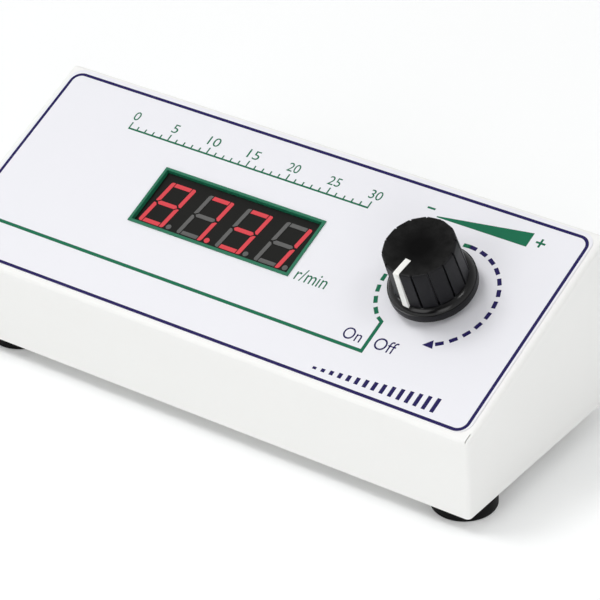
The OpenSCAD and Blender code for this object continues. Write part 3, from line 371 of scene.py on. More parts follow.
def finish_solids():
    """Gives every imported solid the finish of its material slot."""
    for entry in frame["record"]["subparts"]:
        solid = frame["nodes"][entry["node"]]
        solid.data.materials.clear()
        solid.data.materials.append(FINISHES[entry["material_slot"]])


def piece(name, mesh, materials, body):
    """A finished piece at the origin that rides on a body."""
    mesh.name = name
    kinds = [face.material_index for face in mesh.polygons]
    mesh.materials.clear()
    for material in materials:
        mesh.materials.append(material)
    for face, kind in zip(mesh.polygons, kinds):
        face.material_index = kind
    thing = bpy.data.objects.new(name, mesh)
    bpy.context.scene.collection.objects.link(thing)
    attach(thing, body)
    return thing


def faces_mesh(name, points, faces):
    """A mesh from points and faces."""
    mesh = bpy.data.meshes.new(name)
    mesh.from_pydata(points, [], faces)
    mesh.update()
    return mesh


def raised(mesh, t=INK_T):
    """Turns flat faces in millimetres into a closed layer of thickness t, facing outwards."""
    work = bmesh.new()
    work.from_mesh(mesh)
    bmesh.ops.remove_doubles(work, verts=work.verts, dist=MERGE_GAP)
    made = bmesh.ops.extrude_face_region(work, geom=work.faces[:], use_keep_orig=True)
    lid = [part for part in made["geom"] if isinstance(part, bmesh.types.BMVert)]
    bmesh.ops.translate(work, verts=lid, vec=(0, 0, t))
    bmesh.ops.recalc_face_normals(work, faces=work.faces)
    work.to_mesh(mesh)
    work.free()
    return mesh


def printed(name, mesh, colour):
    """A layer of ink on the film; the mesh is in panel millimetres with its underside on the film."""
    mesh.transform(on_panel(0, 0, FILM_T) @ Matrix.Scale(MM, 4))
    return piece(name, mesh, [colour], "box")


def stroke(path, width, closed=False):
    """Flat band of a width along a path, with mitred corners."""
    points, faces, count = [], [], len(path)
    for i, at in enumerate(path):
        before = path[i - 1] if closed or i else None
        after = path[(i + 1) % count] if closed or i < count - 1 else None
        way_in = (Vector(at) - Vector(before)).normalized() if before else None
        way_out = (Vector(after) - Vector(at)).normalized() if after else None
        along = ((way_in or way_out) + (way_out or way_in)).normalized()
        reach = width / 2 / max(0.3, along.dot(way_in or way_out))
        side = Vector((-along.y, along.x)) * reach
        points += [(at[0] + side.x, at[1] + side.y, 0), (at[0] - side.x, at[1] - side.y, 0)]
    for i in range(count if closed else count - 1):
        j = (i + 1) % count
        faces.append((2 * i + 1, 2 * j + 1, 2 * j, 2 * i))
    return points, faces


def join_flat(*shapes):
    """Flat shapes, each as points and faces, in one mesh."""
    points, faces = [], []
    for more, their_faces in shapes:
        faces += [tuple(i + len(points) for i in face) for face in their_faces]
        points += more
    return faces_mesh("flat", points, faces)


def polygon(*corners):
    """A flat shape with these corners."""
    return [(x, y, 0) for x, y in corners], [tuple(range(len(corners)))]


def bar(x0, x1, s0, s1):
    """An upright rectangle as a flat shape."""
    return polygon((x0, s0), (x1, s0), (x1, s1), (x0, s1))


def border_path():
    """Middle of the border line, with round corners."""
    corners = [(BORDER_X, BORDER_HIGH, 0), (-BORDER_X, BORDER_HIGH, 90), (-BORDER_X, BORDER_LOW, 180),
               (BORDER_X, BORDER_LOW, 270)]
    path = []
    for x, s, start in corners:
        cx = x - math.copysign(BORDER_R, x)
        cs = s + (BORDER_R if s == BORDER_LOW else -BORDER_R)
        for k in range(CORNER_STEPS + 1):
            turn = math.radians(start + k * 90 / CORNER_STEPS)
            path.append((cx + BORDER_R * math.cos(turn), cs + BORDER_R * math.sin(turn)))
    return path


def ring_point(clock):
    """A point on the dial ring, by its angle clockwise from straight up the slope."""
    turn = math.radians(clock)
    return RING_X + RING_R * math.sin(turn), RING_S + RING_R * math.cos(turn)


def lettering(text, x0, x1, low, high):
    """Text as a flat mesh that fills a place on the panel."""
    curve = bpy.data.curves.new("letters", "FONT")
    curve.body = text
    holder = bpy.data.objects.new("letters", curve)
    bpy.context.scene.collection.objects.link(holder)
    bpy.context.view_layer.update()
    mesh = bpy.data.meshes.new_from_object(holder.evaluated_get(bpy.context.evaluated_depsgraph_get()))
    bpy.data.objects.remove(holder)
    xs = [v.co.x for v in mesh.vertices]
    ys = [v.co.y for v in mesh.vertices]
    scale_x = (x1 - x0) / (max(xs) - min(xs))
    scale_y = (high - low) / (max(ys) - min(ys))
    for v in mesh.vertices:
        v.co = (x0 + (v.co.x - min(xs)) * scale_x, low + (v.co.y - min(ys)) * scale_y, 0)
    return mesh


def several(meshes):
    """Flat meshes in one."""
    return join_flat(*[
        ([tuple(v.co) for v in m.vertices], [tuple(f.vertices) for f in m.polygons]) for m in meshes])


def made_by(tree, name, values, start=None):
    """The plain mesh that a geometry tree makes from its named values; the modifier doesn't stay."""
    holder = bpy.data.objects.new(name, start or bpy.data.meshes.new(name))
    bpy.context.scene.collection.objects.link(holder)
    maker = holder.modifiers.new(name, "NODES")
    maker.node_group = tree
    ids = {item.name: item.identifier for item in tree.interface.items_tree if item.in_out == "INPUT"}
    for key, value in values.items():
        maker[ids[key]] = value
    bpy.context.view_layer.update()
    mesh = bpy.data.meshes.new_from_object(holder.evaluated_get(bpy.context.evaluated_depsgraph_get()))
    holder.modifiers.remove(maker)
    bpy.data.objects.remove(holder)
    return mesh


def close_tree(tree, out, geometry, material):
    """Ends a geometry tree: real geometry with its material."""
    real = add(tree, "GeometryNodeRealizeInstances", {"Geometry": geometry})
    dressed = add(tree, "GeometryNodeSetMaterial", {
        "Geometry": real.outputs["Geometry"], "Material": material})
    tree.links.new(dressed.outputs["Geometry"], out.inputs["Geometry"])


def make_dial_dashes():
    """Printed dashes set round the dial ring at an even step."""
    tree = bpy.data.node_groups.new("dial_dashes", "GeometryNodeTree")
    ins, out = sockets(
        tree,
        [("Geometry", GEOMETRY, None), ("Count", INTEGER, 12), ("Radius", FLOAT, RING_R),
         ("Start", FLOAT, 0.0), ("Step", FLOAT, 0.2), ("Dash", FLOAT, DASH), ("Stroke", FLOAT, RING_STROKE),
         ("Ink", FLOAT, INK_T), ("Material", MATERIAL, None)],
        [("Geometry", GEOMETRY)])
    dots = add(tree, "GeometryNodeMeshLine", {"Count": ins["Count"]})
    index = add(tree, "GeometryNodeInputIndex")
    turn = maths(tree, "MULTIPLY_ADD", index.outputs[0], ins["Step"], ins["Start"])
    across = maths(tree, "SINE", turn)
    up = maths(tree, "COSINE", turn)
    around = add(tree, "ShaderNodeCombineXYZ", {"X": across, "Y": up})
    place = add(tree, "ShaderNodeVectorMath", {
        0: around.outputs[0], "Scale": ins["Radius"]}, operation="SCALE")
    set_out = add(tree, "GeometryNodeSetPosition", {
        "Geometry": dots.outputs["Mesh"], "Position": place.outputs[0]})
    size = add(tree, "ShaderNodeCombineXYZ", {"X": ins["Dash"], "Y": ins["Stroke"], "Z": ins["Ink"]})
    dash = add(tree, "GeometryNodeMeshCube", {"Size": size.outputs[0]})
    lean = add(tree, "ShaderNodeCombineXYZ", {"Z": maths(tree, "MULTIPLY", turn, -1.0)})
    copies = add(tree, "GeometryNodeInstanceOnPoints", {
        "Points": set_out.outputs["Geometry"], "Instance": dash.outputs["Mesh"], "Rotation": lean.outputs[0]})
    close_tree(tree, out, copies.outputs["Instances"], ins["Material"])
    return tree


def make_tick_row():
    """A row of upright strokes: every so many is taller, and each can rise over the one before."""
    tree = bpy.data.node_groups.new("tick_row", "GeometryNodeTree")
    ins, out = sockets(
        tree,
        [("Geometry", GEOMETRY, None), ("Count", INTEGER, 31), ("Step", FLOAT, 2.0), ("Width", FLOAT, 0.35),
         ("Height", FLOAT, 1.2), ("Rise", FLOAT, 0.0), ("Tall Every", FLOAT, 5.0), ("Tall Extra", FLOAT, 0.0),
         ("Ink", FLOAT, INK_T), ("Material", MATERIAL, None)],
        [("Geometry", GEOMETRY)])
    dots = add(tree, "GeometryNodeMeshLine", {"Count": ins["Count"]})
    index = add(tree, "GeometryNodeInputIndex").outputs[0]
    rising = maths(tree, "MULTIPLY_ADD", index, ins["Rise"], ins["Height"])
    rest = maths(tree, "MODULO", index, ins["Tall Every"])
    tall = maths(tree, "LESS_THAN", rest, 0.5)
    height = maths(tree, "MULTIPLY_ADD", tall, ins["Tall Extra"], rising)
    place = add(tree, "ShaderNodeCombineXYZ", {
        "X": maths(tree, "MULTIPLY", index, ins["Step"]), "Y": maths(tree, "MULTIPLY", height, 0.5)})
    set_out = add(tree, "GeometryNodeSetPosition", {
        "Geometry": dots.outputs["Mesh"], "Position": place.outputs[0]})
    unit = add(tree, "GeometryNodeMeshCube", {"Size": (1.0, 1.0, 1.0)})
    size = add(tree, "ShaderNodeCombineXYZ", {"X": ins["Width"], "Y": height, "Z": ins["Ink"]})
    copies = add(tree, "GeometryNodeInstanceOnPoints", {
        "Points": set_out.outputs["Geometry"], "Instance": unit.outputs["Mesh"], "Scale": size.outputs[0]})
    close_tree(tree, out, copies.outputs["Instances"], ins["Material"])
    return tree


def make_screw_row():
    """Copies of one screw head on the points of a mesh."""
    tree = bpy.data.node_groups.new("screw_row", "GeometryNodeTree")
    ins, out = sockets(
        tree,
        [("Geometry", GEOMETRY, None), ("Head", "NodeSocketObject", None), ("Turn Step", FLOAT, 0.7),
         ("Material", MATERIAL, None)],
        [("Geometry", GEOMETRY)])
    head = add(tree, "GeometryNodeObjectInfo", {"Object": ins["Head"]})
    index = add(tree, "GeometryNodeInputIndex")
    turn = maths(tree, "MULTIPLY", index.outputs[0], ins["Turn Step"])
    spin = add(tree, "ShaderNodeCombineXYZ", {"Z": turn})
    copies = add(tree, "GeometryNodeInstanceOnPoints", {
        "Points": ins["Geometry"], "Instance": head.outputs["Geometry"], "Rotation": spin.outputs[0]})
    close_tree(tree, out, copies.outputs["Instances"], ins["Material"])
    return tree


def make_thread():
    """A screw thread: one ridge that winds round a barrel."""
    tree = bpy.data.node_groups.new("thread", "GeometryNodeTree")
    ins, out = sockets(
        tree,
        [("Geometry", GEOMETRY, None), ("Turns", FLOAT, 8.0), ("Radius", FLOAT, 8.0), ("Length", FLOAT, 8.0),
         ("Ridge", FLOAT, 0.3), ("Material", MATERIAL, None)],
        [("Geometry", GEOMETRY)])
    winding = add(tree, "GeometryNodeCurveSpiral", {
        "Resolution": 48, "Rotations": ins["Turns"], "Start Radius": ins["Radius"],
        "End Radius": ins["Radius"], "Height": ins["Length"]})
    crest = add(tree, "GeometryNodeCurvePrimitiveCircle", {"Resolution": 6, "Radius": ins["Ridge"]})
    swept = add(tree, "GeometryNodeCurveToMesh", {
        "Curve": winding.outputs["Curve"], "Profile Curve": crest.outputs["Curve"], "Fill Caps": True})
    close_tree(tree, out, swept.outputs["Mesh"], ins["Material"])
    return tree


DIAL_DASHES = make_dial_dashes()
TICK_ROW = make_tick_row()
SCREW_ROW = make_screw_row()
THREAD = make_thread()


def lifted(mesh, x, s):
    """Moves a mesh made around its own zero to its place on the panel, with its underside on the film."""
    mesh.transform(Matrix.Translation((x, s, INK_T / 2)))
    return mesh


def print_lines():
    """Border, rule and the line that leads to the dial."""
    border = faces_mesh("border", *stroke(border_path(), BORDER_LINE, closed=True))
    printed("border_line", raised(border), NAVY_INK)
    lead = [(-BORDER_X, RULE_S), (RULE_END_X, RULE_S), (RULE_END_X, RULE_TURN_S), ring_point(RULE_MEETS_RING)]
    printed("rule_line", raised(faces_mesh("rule", *stroke(lead, RULE_LINE))), GREEN_INK)


def print_dashes(name, colour, start, step, count):
    """A run of the dial ring's dashes, by clock angles."""
    dashes = made_by(DIAL_DASHES, name, {
        "Count": count, "Radius": RING_R, "Start": math.radians(start), "Step": math.radians(step),
        "Dash": DASH, "Stroke": RING_STROKE, "Ink": INK_T, "Material": colour})
    printed(name, lifted(dashes, RING_X, RING_S), colour)


def print_dial():
    """Dashed ring: green where the knob starts, navy round to the arrow."""
    print_dashes("ring_green", GREEN_INK, **GREEN_RUN)
    print_dashes("ring_navy", NAVY_INK, **NAVY_RUN)
    tip = Vector(ring_point(ARROW_TIP))
    foot = Vector(ring_point(ARROW_FOOT))
    ahead = (tip - foot).normalized()
    side = Vector((-ahead.y, ahead.x)) * ARROW_HALF
    arrow = polygon(tip[:], (foot + side)[:], (foot - side)[:])
    printed("ring_arrow", raised(faces_mesh("arrow", *arrow)), NAVY_INK)


def print_scale():
    """Ruled scale with plain numbers above the display."""
    step = (SCALE_LAST_X - SCALE_FIRST_X) / SCALE_STEPS
    ticks = made_by(TICK_ROW, "scale_ticks", {
        "Count": SCALE_STEPS + 1, "Step": step, "Width": TICK_W, "Height": TICK_H, "Rise": 0.0,
        "Tall Every": float(NUMBER_EVERY), "Tall Extra": TALL_TICK_EXTRA, "Ink": INK_T,
        "Material": GREEN_INK})
    printed("scale_ticks", lifted(ticks, SCALE_FIRST_X, SCALE_S + TICK_FOOT), GREEN_INK)
    line = stroke([(SCALE_FIRST_X - TICK_W / 2, SCALE_S), (SCALE_LAST_X + TICK_W / 2, SCALE_S)], SCALE_LINE)
    printed("scale_line", raised(faces_mesh("line", *line)), GREEN_INK)
    numbers = []
    for mark in range(0, SCALE_STEPS + 1, NUMBER_EVERY):
        half = FIGURE_HALF_W * len(str(mark))
        at = SCALE_FIRST_X + mark * step
        low, high = SCALE_S + NUMBER_LOW, SCALE_S + NUMBER_HIGH
        numbers.append(lettering(str(mark), at - half, at + half, low, high))
    printed("scale_numbers", raised(several(numbers)), GREEN_INK)


def print_legends():
    """Ramp from slow to fast, unit, switch words and rising bars."""
    signs = [polygon(*RAMP), bar(*MINUS)] + [bar(*stick) for stick in PLUS]
    printed("speed_ramp", raised(join_flat(*signs)), GREEN_INK)
    printed("unit_letters", raised(lettering("r/min", *UNIT_PLACE)), GREEN_INK)
    printed("on_letters", raised(lettering("On", *ON_PLACE)), NAVY_INK)
    printed("off_letters", raised(lettering("Off", *OFF_PLACE)), NAVY_INK)
    bars = made_by(TICK_ROW, "speed_bars", {**BARS, **NO_TALL_ONES, "Ink": INK_T, "Material": NAVY_INK})
    printed("speed_bars", lifted(bars, *BARS_AT), NAVY_INK)


# Fluted knob, in millimetres from the panel sheet and from the knob's axis
POINTER_TURN = math.radians(-6)
KNOB_PLACE = on_panel(KNOB_AT.x, KNOB_S) @ Matrix.Rotation(POINTER_TURN, 4, "Z") @ Matrix.Scale(MM, 4)
INSERT_R = 4.55
INSERT_TOP = 13.1
CAVITY_R = 8.8
CAVITY_TOP = 6.6
SKIRT_R = 11.8
SKIRT_LOW = 2.4
SKIRT_LOW_EDGE = 0.2
RIM_TOP = 4.7
RIM_EDGE = 0.06
GRIP_R = 10.1
GRIP_LOW = 6.1
SHOULDER_BEND = ((11.58, RIM_TOP), (11.12, 5.72), (GRIP_R, GRIP_LOW))
BEND_STEPS = 10
TOP_R = 9.8
TOP_Z = 18.5
TOP_EDGE = 0.45
DISH_R = 8.9
DISH_DEPTH = 0.35
DISH_STEPS = 8
# Painted sheen on the knob's top: the radius where it starts, and how much lighter it makes the rim
SHEEN_FROM_R = 2.5
SHEEN_GAIN = 11.0
GROOVES = 14
GROOVE_FLOOR_R = 9.15
GROOVE_LOW = 6.3
GRIP_LEVELS = (GRIP_LOW + 0.02, GROOVE_LOW, GROOVE_LOW + 0.05, 9.5, 12.5, 15.5, TOP_Z - TOP_EDGE)
TOP_RIM_R = GROOVE_FLOOR_R - 0.1
FACET_FLATNESS = 0.8
KNOB_SHARP = math.radians(28)
SIDE, SKIRT, TOP = range(3)

# Half a groove and half a facet: degrees from the groove's middle, and the share of the groove's depth there
GROOVE_PROFILE = ((0, 1), (1.2, 1), (1.45, 0.1), (1.9, 0), (4.0, 0), (7.0, 0), (10.0, 0))

# The white rib's outline, as distance from the knob's axis and height: over the knob, then back inside it
POINTER_START = 4.5
POINTER_FOOT_R = 10.6
POINTER_FOOT_Z = 5.95
POINTER_SUNK = 0.9
POINTER_OVER = ((POINTER_START, TOP_Z - 0.15), (7.2, TOP_Z + 0.02), (9.3, TOP_Z + 0.08), (9.68, TOP_Z),
                (9.86, TOP_Z - 0.25), (POINTER_FOOT_R, POINTER_FOOT_Z),
                (POINTER_FOOT_R - 0.2, POINTER_FOOT_Z - 0.25))
POINTER_UNDER = ((GRIP_R - POINTER_SUNK, GRIP_LOW - 0.6), (TOP_R - POINTER_SUNK, TOP_Z - POINTER_SUNK),
                 (POINTER_START, TOP_Z - POINTER_SUNK))
POINTER_TOP_W = 1.65
POINTER_SIDE_W = 1.9
POINTER_TOP_LOW = TOP_Z - 1


def arc(from_deg, to_deg, steps):
    """Evenly spaced angles in radians, ends included."""
    return [math.radians(from_deg + (to_deg - from_deg) * k / steps) for k in range(steps + 1)]


def knob_rings():
    """Rings from under the skirt to the top: radius, height, whether faceted, and the finish that follows."""
    rings = [(INSERT_R, INSERT_TOP, 0, SKIRT), (INSERT_R, CAVITY_TOP, 0, SKIRT),
             (CAVITY_R, CAVITY_TOP, 0, SKIRT), (CAVITY_R, SKIRT_LOW, 0, SKIRT)]
    rings += [(SKIRT_R - SKIRT_LOW_EDGE * (1 - math.cos(a)), SKIRT_LOW + SKIRT_LOW_EDGE * (1 + math.sin(a)),
               0, SIDE) for a in arc(-90, 0, 4)]
    rings += [(SKIRT_R - RIM_EDGE * (1 - math.cos(a)), RIM_TOP - RIM_EDGE * (1 - math.sin(a)), 0, SKIRT)
              for a in arc(0, 90, 3)]
    for k in range(BEND_STEPS + 1):
        t = k / BEND_STEPS
        r, z = ((1 - t) ** 2 * a + 2 * t * (1 - t) * b + t * t * c for a, b, c in zip(*SHOULDER_BEND))
        rings.append((r, z, 0, SKIRT))
    for z in GRIP_LEVELS:
        rings.append((GRIP_R + (TOP_R - GRIP_R) * (z - GRIP_LOW) / (TOP_Z - GRIP_LOW), z, 1, SIDE))
    rings += [(TOP_R - TOP_EDGE * (1 - math.cos(a)), TOP_Z - TOP_EDGE * (1 - math.sin(a)), 1, SIDE)
              for a in arc(22.5, 67.5, 2)]
    rings += [(TOP_R - TOP_EDGE, TOP_Z, 1, TOP), (TOP_RIM_R, TOP_Z, 1, TOP), (DISH_R, TOP_Z, 0, TOP)]
    rings += [(DISH_R * k / DISH_STEPS, TOP_Z - DISH_DEPTH * (1 - (k / DISH_STEPS) ** 2), 0, TOP)
              for k in range(DISH_STEPS - 1, 0, -1)]
    return rings


def knob_columns():
    """Angles round the knob, each with its share of a groove's depth; the pointer's place has no groove."""
    sector = 360 / GROOVES
    before = [(-turn, depth) for turn, depth in reversed(GROOVE_PROFILE[1:])]
    across = [*before, *GROOVE_PROFILE, (sector / 2, 0)]
    return [(math.radians(i * sector + turn), depth if i else 0)
            for i in range(GROOVES) for turn, depth in across]


def facet_share(turn):
    """Share of a ring's radius at an angle: 1 on the corners between facets, less where a facet is flat."""
    half = math.pi / GROOVES
    off = turn % (2 * half) - half
    return 1 - FACET_FLATNESS * (1 - math.cos(half) / math.cos(off))


def build_knob():
    """The knob's shell with its facets, thin grooves and dished top, in place of the plain solid."""
    rings, columns = knob_rings(), knob_columns()
    count = len(columns)
    points, faces, kinds = [], [], []
    for radius, height, faceted, _ in rings:
        for turn, depth in columns:
            here = radius * facet_share(turn) if faceted else radius
            if faceted and height > GROOVE_LOW and here > GROOVE_FLOOR_R:
                here -= depth * (here - GROOVE_FLOOR_R)
            points.append((here * math.sin(turn), -here * math.cos(turn), height))
    for k in range(len(rings) - 1):
        for c in range(count):
            d = (c + 1) % count
            faces.append((k * count + c, k * count + d, (k + 1) * count + d, (k + 1) * count + c))
            kinds.append(rings[k][3])
    inside, top = len(points), len(points) + 1
    points += [(0, 0, INSERT_TOP), (0, 0, TOP_Z - DISH_DEPTH)]
    last = (len(rings) - 1) * count
    for c in range(count):
        d = (c + 1) % count
        faces += [(inside, d, c), (last + c, last + d, top)]
        kinds += [SKIRT, TOP]
    mesh = faces_mesh("knob", points, faces)
    for face, kind in zip(mesh.polygons, kinds):
        face.material_index = kind
    mesh.transform(KNOB_PLACE)
    mesh.shade_smooth()
    mesh.set_sharp_from_angle(angle=KNOB_SHARP)
    centre = on_panel(KNOB_AT.x, KNOB_S, TOP_Z).translation
    # The top's finish carries painted sheen that greys it towards its rim
    top_finish = worn_top("knob_top", centre, SHEEN_FROM_R * MM, TOP_R * MM, SHEEN_GAIN)
    shell = piece("fluted_knob", mesh, [FINISHES["knob_black"], KNOB_SKIRT, top_finish], "knob")
    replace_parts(shell, "knob")


def build_pointer():
    """White rib from the knob's top over its edge and down to the shoulder, in place of the plain solid."""
    outline = POINTER_OVER + POINTER_UNDER
    half = [(POINTER_TOP_W if r < TOP_R and z > POINTER_TOP_LOW else POINTER_SIDE_W) / 2 for r, z in outline]
    count = len(outline)
    points = [(side * w, -r, z) for side in (-1, 1) for (r, z), w in zip(outline, half)]
    faces = [(k, (k + 1) % count, count + (k + 1) % count, count + k) for k in range(count)]
    faces += [tuple(reversed(range(count))), tuple(range(count, 2 * count))]
    work = bmesh.new()
    work.from_mesh(faces_mesh("pointer", points, faces))
    bmesh.ops.triangulate(work, faces=[face for face in work.faces if len(face.verts) > 4])
    bmesh.ops.recalc_face_normals(work, faces=work.faces)
    mesh = bpy.data.meshes.new("pointer")
    work.to_mesh(mesh)
    work.free()
    mesh.transform(KNOB_PLACE)
    rib = piece("pointer_rib", mesh, [FINISHES["pointer_white"]], "knob")
    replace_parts(rib, "knob_pointer")


# Cross-recessed pan heads, in millimetres
HEAD_R = 2.8
HEAD_H = 1.8
HEAD_EDGE = 0.3
HEAD_SHARP = math.radians(40)
RECESS_ARM = 1.55
RECESS_HALF = 0.4
RECESS_DEPTH = 1.0
RECESS_TAPER = 0.35
RECESS_SIDE_BLEND = 0.16
RECESS_END_BLEND = 0.4
SCREW_TURN_STEP = 0.7
BASE_SCREW_X = 45.0

# Thread of the motor socket, in millimetres
THREAD_TURNS = 8.0
THREAD_R = 7.9
THREAD_L = 7.8
THREAD_RIDGE = 0.34
THREAD_INSET = 0.6


def share_in(value, edge, blend):
    """1 well inside an edge, 0 well outside it, with a slope between."""
    return max(0.0, min(1.0, (edge - value) / blend + 0.5))


def screw_head():
    """One pan head with a cross recess, standing on its own zero."""
    columns, steps = 48, 16
    points, faces = [(0, 0, HEAD_H - RECESS_DEPTH)], []
    for k in range(1, steps + 1):
        share = k / steps
        for c in range(columns):
            a = 2 * math.pi * c / columns
            x, y = HEAD_R * share * math.cos(a), HEAD_R * share * math.sin(a)
            z = HEAD_EDGE + (HEAD_H - HEAD_EDGE) * math.sqrt(max(0.0, 1 - share ** 4))
            thin, wide = min(abs(x), abs(y)), max(abs(x), abs(y))
            in_arm = share_in(wide, RECESS_ARM, RECESS_END_BLEND)
            sunk = share_in(thin, RECESS_HALF, RECESS_SIDE_BLEND) * in_arm
            points.append((x, y, z - sunk * RECESS_DEPTH * (1 - RECESS_TAPER * wide / RECESS_ARM)))
    rim = 1 + (steps - 1) * columns
    foot = len(points)
    points += [(x, y, 0) for x, y, _ in points[rim:rim + columns]]
    for c in range(columns):
        d = (c + 1) % columns
        faces.append((0, 1 + c, 1 + d))
        for k in range(steps - 1):
            a, b = 1 + k * columns, 1 + (k + 1) * columns
            faces.append((a + c, b + c, b + d, a + d))
        faces.append((rim + c, foot + c, foot + d, rim + d))
    faces.append(tuple(foot + c for c in reversed(range(columns))))
    mesh = faces_mesh("screw_head", points, faces)
    mesh.shade_smooth()
    mesh.set_sharp_from_angle(angle=HEAD_SHARP)
    return mesh


def back_row(node, inner=()):
    """Plane and spots of screw heads in a level row at the back; inner holds spots between the outer two."""
    low, high = box_mm(node)
    x, z = (low.x + high.x) / 2, (low.z + high.z) / 2
    reach = (high.x - low.x) / 2 - HEAD_R
    return facing_back(x, high.y - HEAD_H, z), [(-reach, 0), *inner, (reach, 0)]


def base_row():
    """Plane and spots of the screw heads under the base."""
    low, high = box_mm("base_screws")
    side_x, side_y, front_y = high.x - HEAD_R, high.y - HEAD_R, low.y + HEAD_R
    spots = [(x, -y) for x, y in ((-BASE_SCREW_X, front_y), (BASE_SCREW_X, front_y), (-side_x, side_y),
                                  (side_x, side_y))]
    return facing_down(low.z + HEAD_H), spots


def foot_row():
    """Plane and spots of the screw heads in the feet."""
    feet = [middle_mm(node) for node in frame["nodes"] if node.startswith(("foot_front", "foot_rear"))]
    return facing_down(box_mm("foot_screws")[0].z + HEAD_H), [(at.x, -at.y) for at in feet]


def build_screws():
    """Screw heads on the rear flange, the mains inlet, the base and in the feet."""
    head = bpy.data.objects.new("screw_head", screw_head())
    bpy.context.scene.collection.objects.link(head)
    rows = {"rear_screws": back_row("rear_screws", [(0, 0)]), "inlet_screws": back_row("inlet_screws"),
            "base_screws": base_row(), "foot_screws": foot_row()}
    for node, (place, spots) in rows.items():
        start = faces_mesh(node, [(x, y, 0) for x, y in spots], [])
        steel = FINISHES["steel"]
        mesh = made_by(SCREW_ROW, node, {
            "Head": head, "Turn Step": SCREW_TURN_STEP, "Material": steel}, start)
        mesh.transform(place @ Matrix.Scale(MM, 4))
        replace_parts(piece(node.replace("_screws", "_screw_heads"), mesh, [steel], "box"), node)
    bpy.data.objects.remove(head)


def build_thread():
    """Thread on the motor socket's barrel."""
    at, end = middle_mm("motor_socket"), box_mm("motor_socket")[1].y
    mesh = made_by(THREAD, "socket_thread", {
        "Turns": THREAD_TURNS, "Radius": THREAD_R, "Length": THREAD_L, "Ridge": THREAD_RIDGE,
        "Material": FINISHES["nickel"]})
    mesh.transform(facing_back(at.x, end - THREAD_INSET - THREAD_L, at.z) @ Matrix.Scale(MM, 4))
    mesh.shade_smooth()
    piece("socket_thread", mesh, [FINISHES["nickel"]], "box")


# The photograph's camera: lens and sensor in millimetres, place in metres, turn in degrees
CAMERA_LENS = 195.759
CAMERA_SENSOR = 36.0
CAMERA_AT = (0.456706, -0.582172, 0.481628)
CAMERA_TURN = (57.9792, 2.1625, 36.2114)
CAMERA_REACH = 20.0


def set_camera():
    """Camera at the photograph's place and angle."""
    data = bpy.data.cameras.new("camera")
    data.lens = CAMERA_LENS
    data.sensor_width = CAMERA_SENSOR
    data.clip_end = CAMERA_REACH
    camera = bpy.data.objects.new("camera", data)
    camera.location = CAMERA_AT
    camera.rotation_euler = [math.radians(angle) for angle in CAMERA_TURN]
    bpy.context.scene.collection.objects.link(camera)
    bpy.context.scene.camera = camera


def seen_directly(tree):
    """1 for what the camera sees straight, in a reflection or through glass."""
    path = add(tree, "ShaderNodeLightPath")
    first = maths(tree, "MAXIMUM", path.outputs["Is Camera Ray"], path.outputs["Is Glossy Ray"])
    return maths(tree, "MAXIMUM", first, path.outputs["Is Transmission Ray"])


# The paper floor: half its side in metres, its colour, and the glow that lightens it where it is seen
FLOOR_HALF = 4
FLOOR_COLOUR = (246, 247, 247)
FLOOR_GLOW = 0.105


def set_floor():
    """Pale paper floor that keeps the shadow and looks white where it is lit."""
    corners = [(x * FLOOR_HALF, y * FLOOR_HALF, 0) for x, y in ((-1, -1), (1, -1), (1, 1), (-1, 1))]
    mesh = faces_mesh("floor", corners, [(0, 1, 2, 3)])
    floor = bpy.data.objects.new("floor", mesh)
    material = bpy.data.materials.new("floor_paper")
    material.use_nodes = True
    tree = material.node_tree
    tree.nodes.clear()
    paper = add(tree, "ShaderNodeBsdfDiffuse", {"Color": srgb(*FLOOR_COLOUR)})
    strength = maths(tree, "MULTIPLY", seen_directly(tree), FLOOR_GLOW)
    glow = add(tree, "ShaderNodeEmission", {"Color": (1, 1, 1, 1), "Strength": strength})
    both = add(tree, "ShaderNodeAddShader", {0: paper.outputs[0], 1: glow.outputs[0]})
    add(tree, "ShaderNodeOutputMaterial", {"Surface": both.outputs[0]})
    mesh.materials.append(material)
    bpy.context.scene.collection.objects.link(floor)


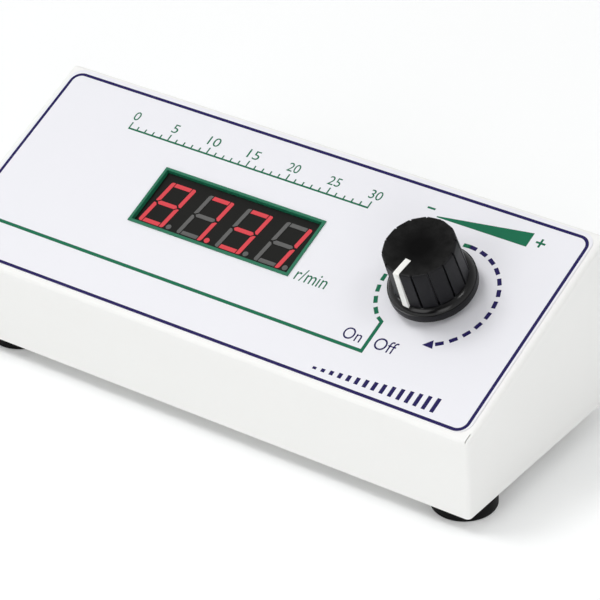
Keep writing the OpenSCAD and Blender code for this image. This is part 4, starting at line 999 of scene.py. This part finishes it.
# The room: how bright it is at eye level and overhead, and the dark part of it in front of the box
ROOM_AT_EYE_LEVEL = 1.0
ROOM_OVERHEAD = 0.45
DARK_WAY = Vector((0.13, -0.98, 0.12)).normalized()
DARK_EDGE = 0.5
DARK_CORE = 0.88
DARK_SHARE = 0.06

# Square lamps that face the object: place and size in metres, power in watts
LAMPS = {
    "left_lamp": ((-1.35, -0.6, 2.6), 1.1, 29.5),
    "right_lamp": ((1.1, -0.16, 1.66), 0.32, 2.4),
    "front_panel": ((-0.15, -1.1, 0.62), 0.7, 3.5),
    "right_panel": ((0.875, -0.9, 0.33), 0.6, 2.4)}


def set_room():
    """A white room, brightest at eye level and dark in front."""
    world = bpy.data.worlds.new("room")
    bpy.context.scene.world = world
    world.use_nodes = True
    tree = world.node_tree
    tree.nodes.clear()
    way = add(tree, "ShaderNodeTexCoord").outputs["Generated"]
    rise = add(tree, "ShaderNodeSeparateXYZ", {"Vector": way})
    level = add(tree, "ShaderNodeMapRange", {
        "Value": rise.outputs["Z"], "To Min": ROOM_AT_EYE_LEVEL, "To Max": ROOM_OVERHEAD})
    facing = add(tree, "ShaderNodeVectorMath", {0: way, 1: DARK_WAY}, operation="DOT_PRODUCT")
    share = add(tree, "ShaderNodeMapRange", {
        "Value": facing.outputs["Value"], "From Min": DARK_EDGE, "From Max": DARK_CORE, "To Min": 1.0,
        "To Max": DARK_SHARE})
    strength = maths(tree, "MULTIPLY", level.outputs[0], share.outputs[0])
    room = add(tree, "ShaderNodeBackground", {"Color": (1, 1, 1, 1), "Strength": strength})
    add(tree, "ShaderNodeOutputWorld", {"Surface": room.outputs[0]})


def set_lamps():
    """Soft lamps round the front of the object."""
    for name, (place, size, power) in LAMPS.items():
        lamp = bpy.data.lights.new(name, "AREA")
        lamp.size = size
        lamp.energy = power
        holder = bpy.data.objects.new(name, lamp)
        holder.location = place
        holder.rotation_euler = (-holder.location).to_track_quat("-Z", "Y").to_euler()
        bpy.context.scene.collection.objects.link(holder)


set_camera()
finish_solids()
print_lines()
print_dial()
print_scale()
print_legends()
build_knob()
build_pointer()
build_screws()
build_thread()
set_floor()
set_room()
set_lamps()
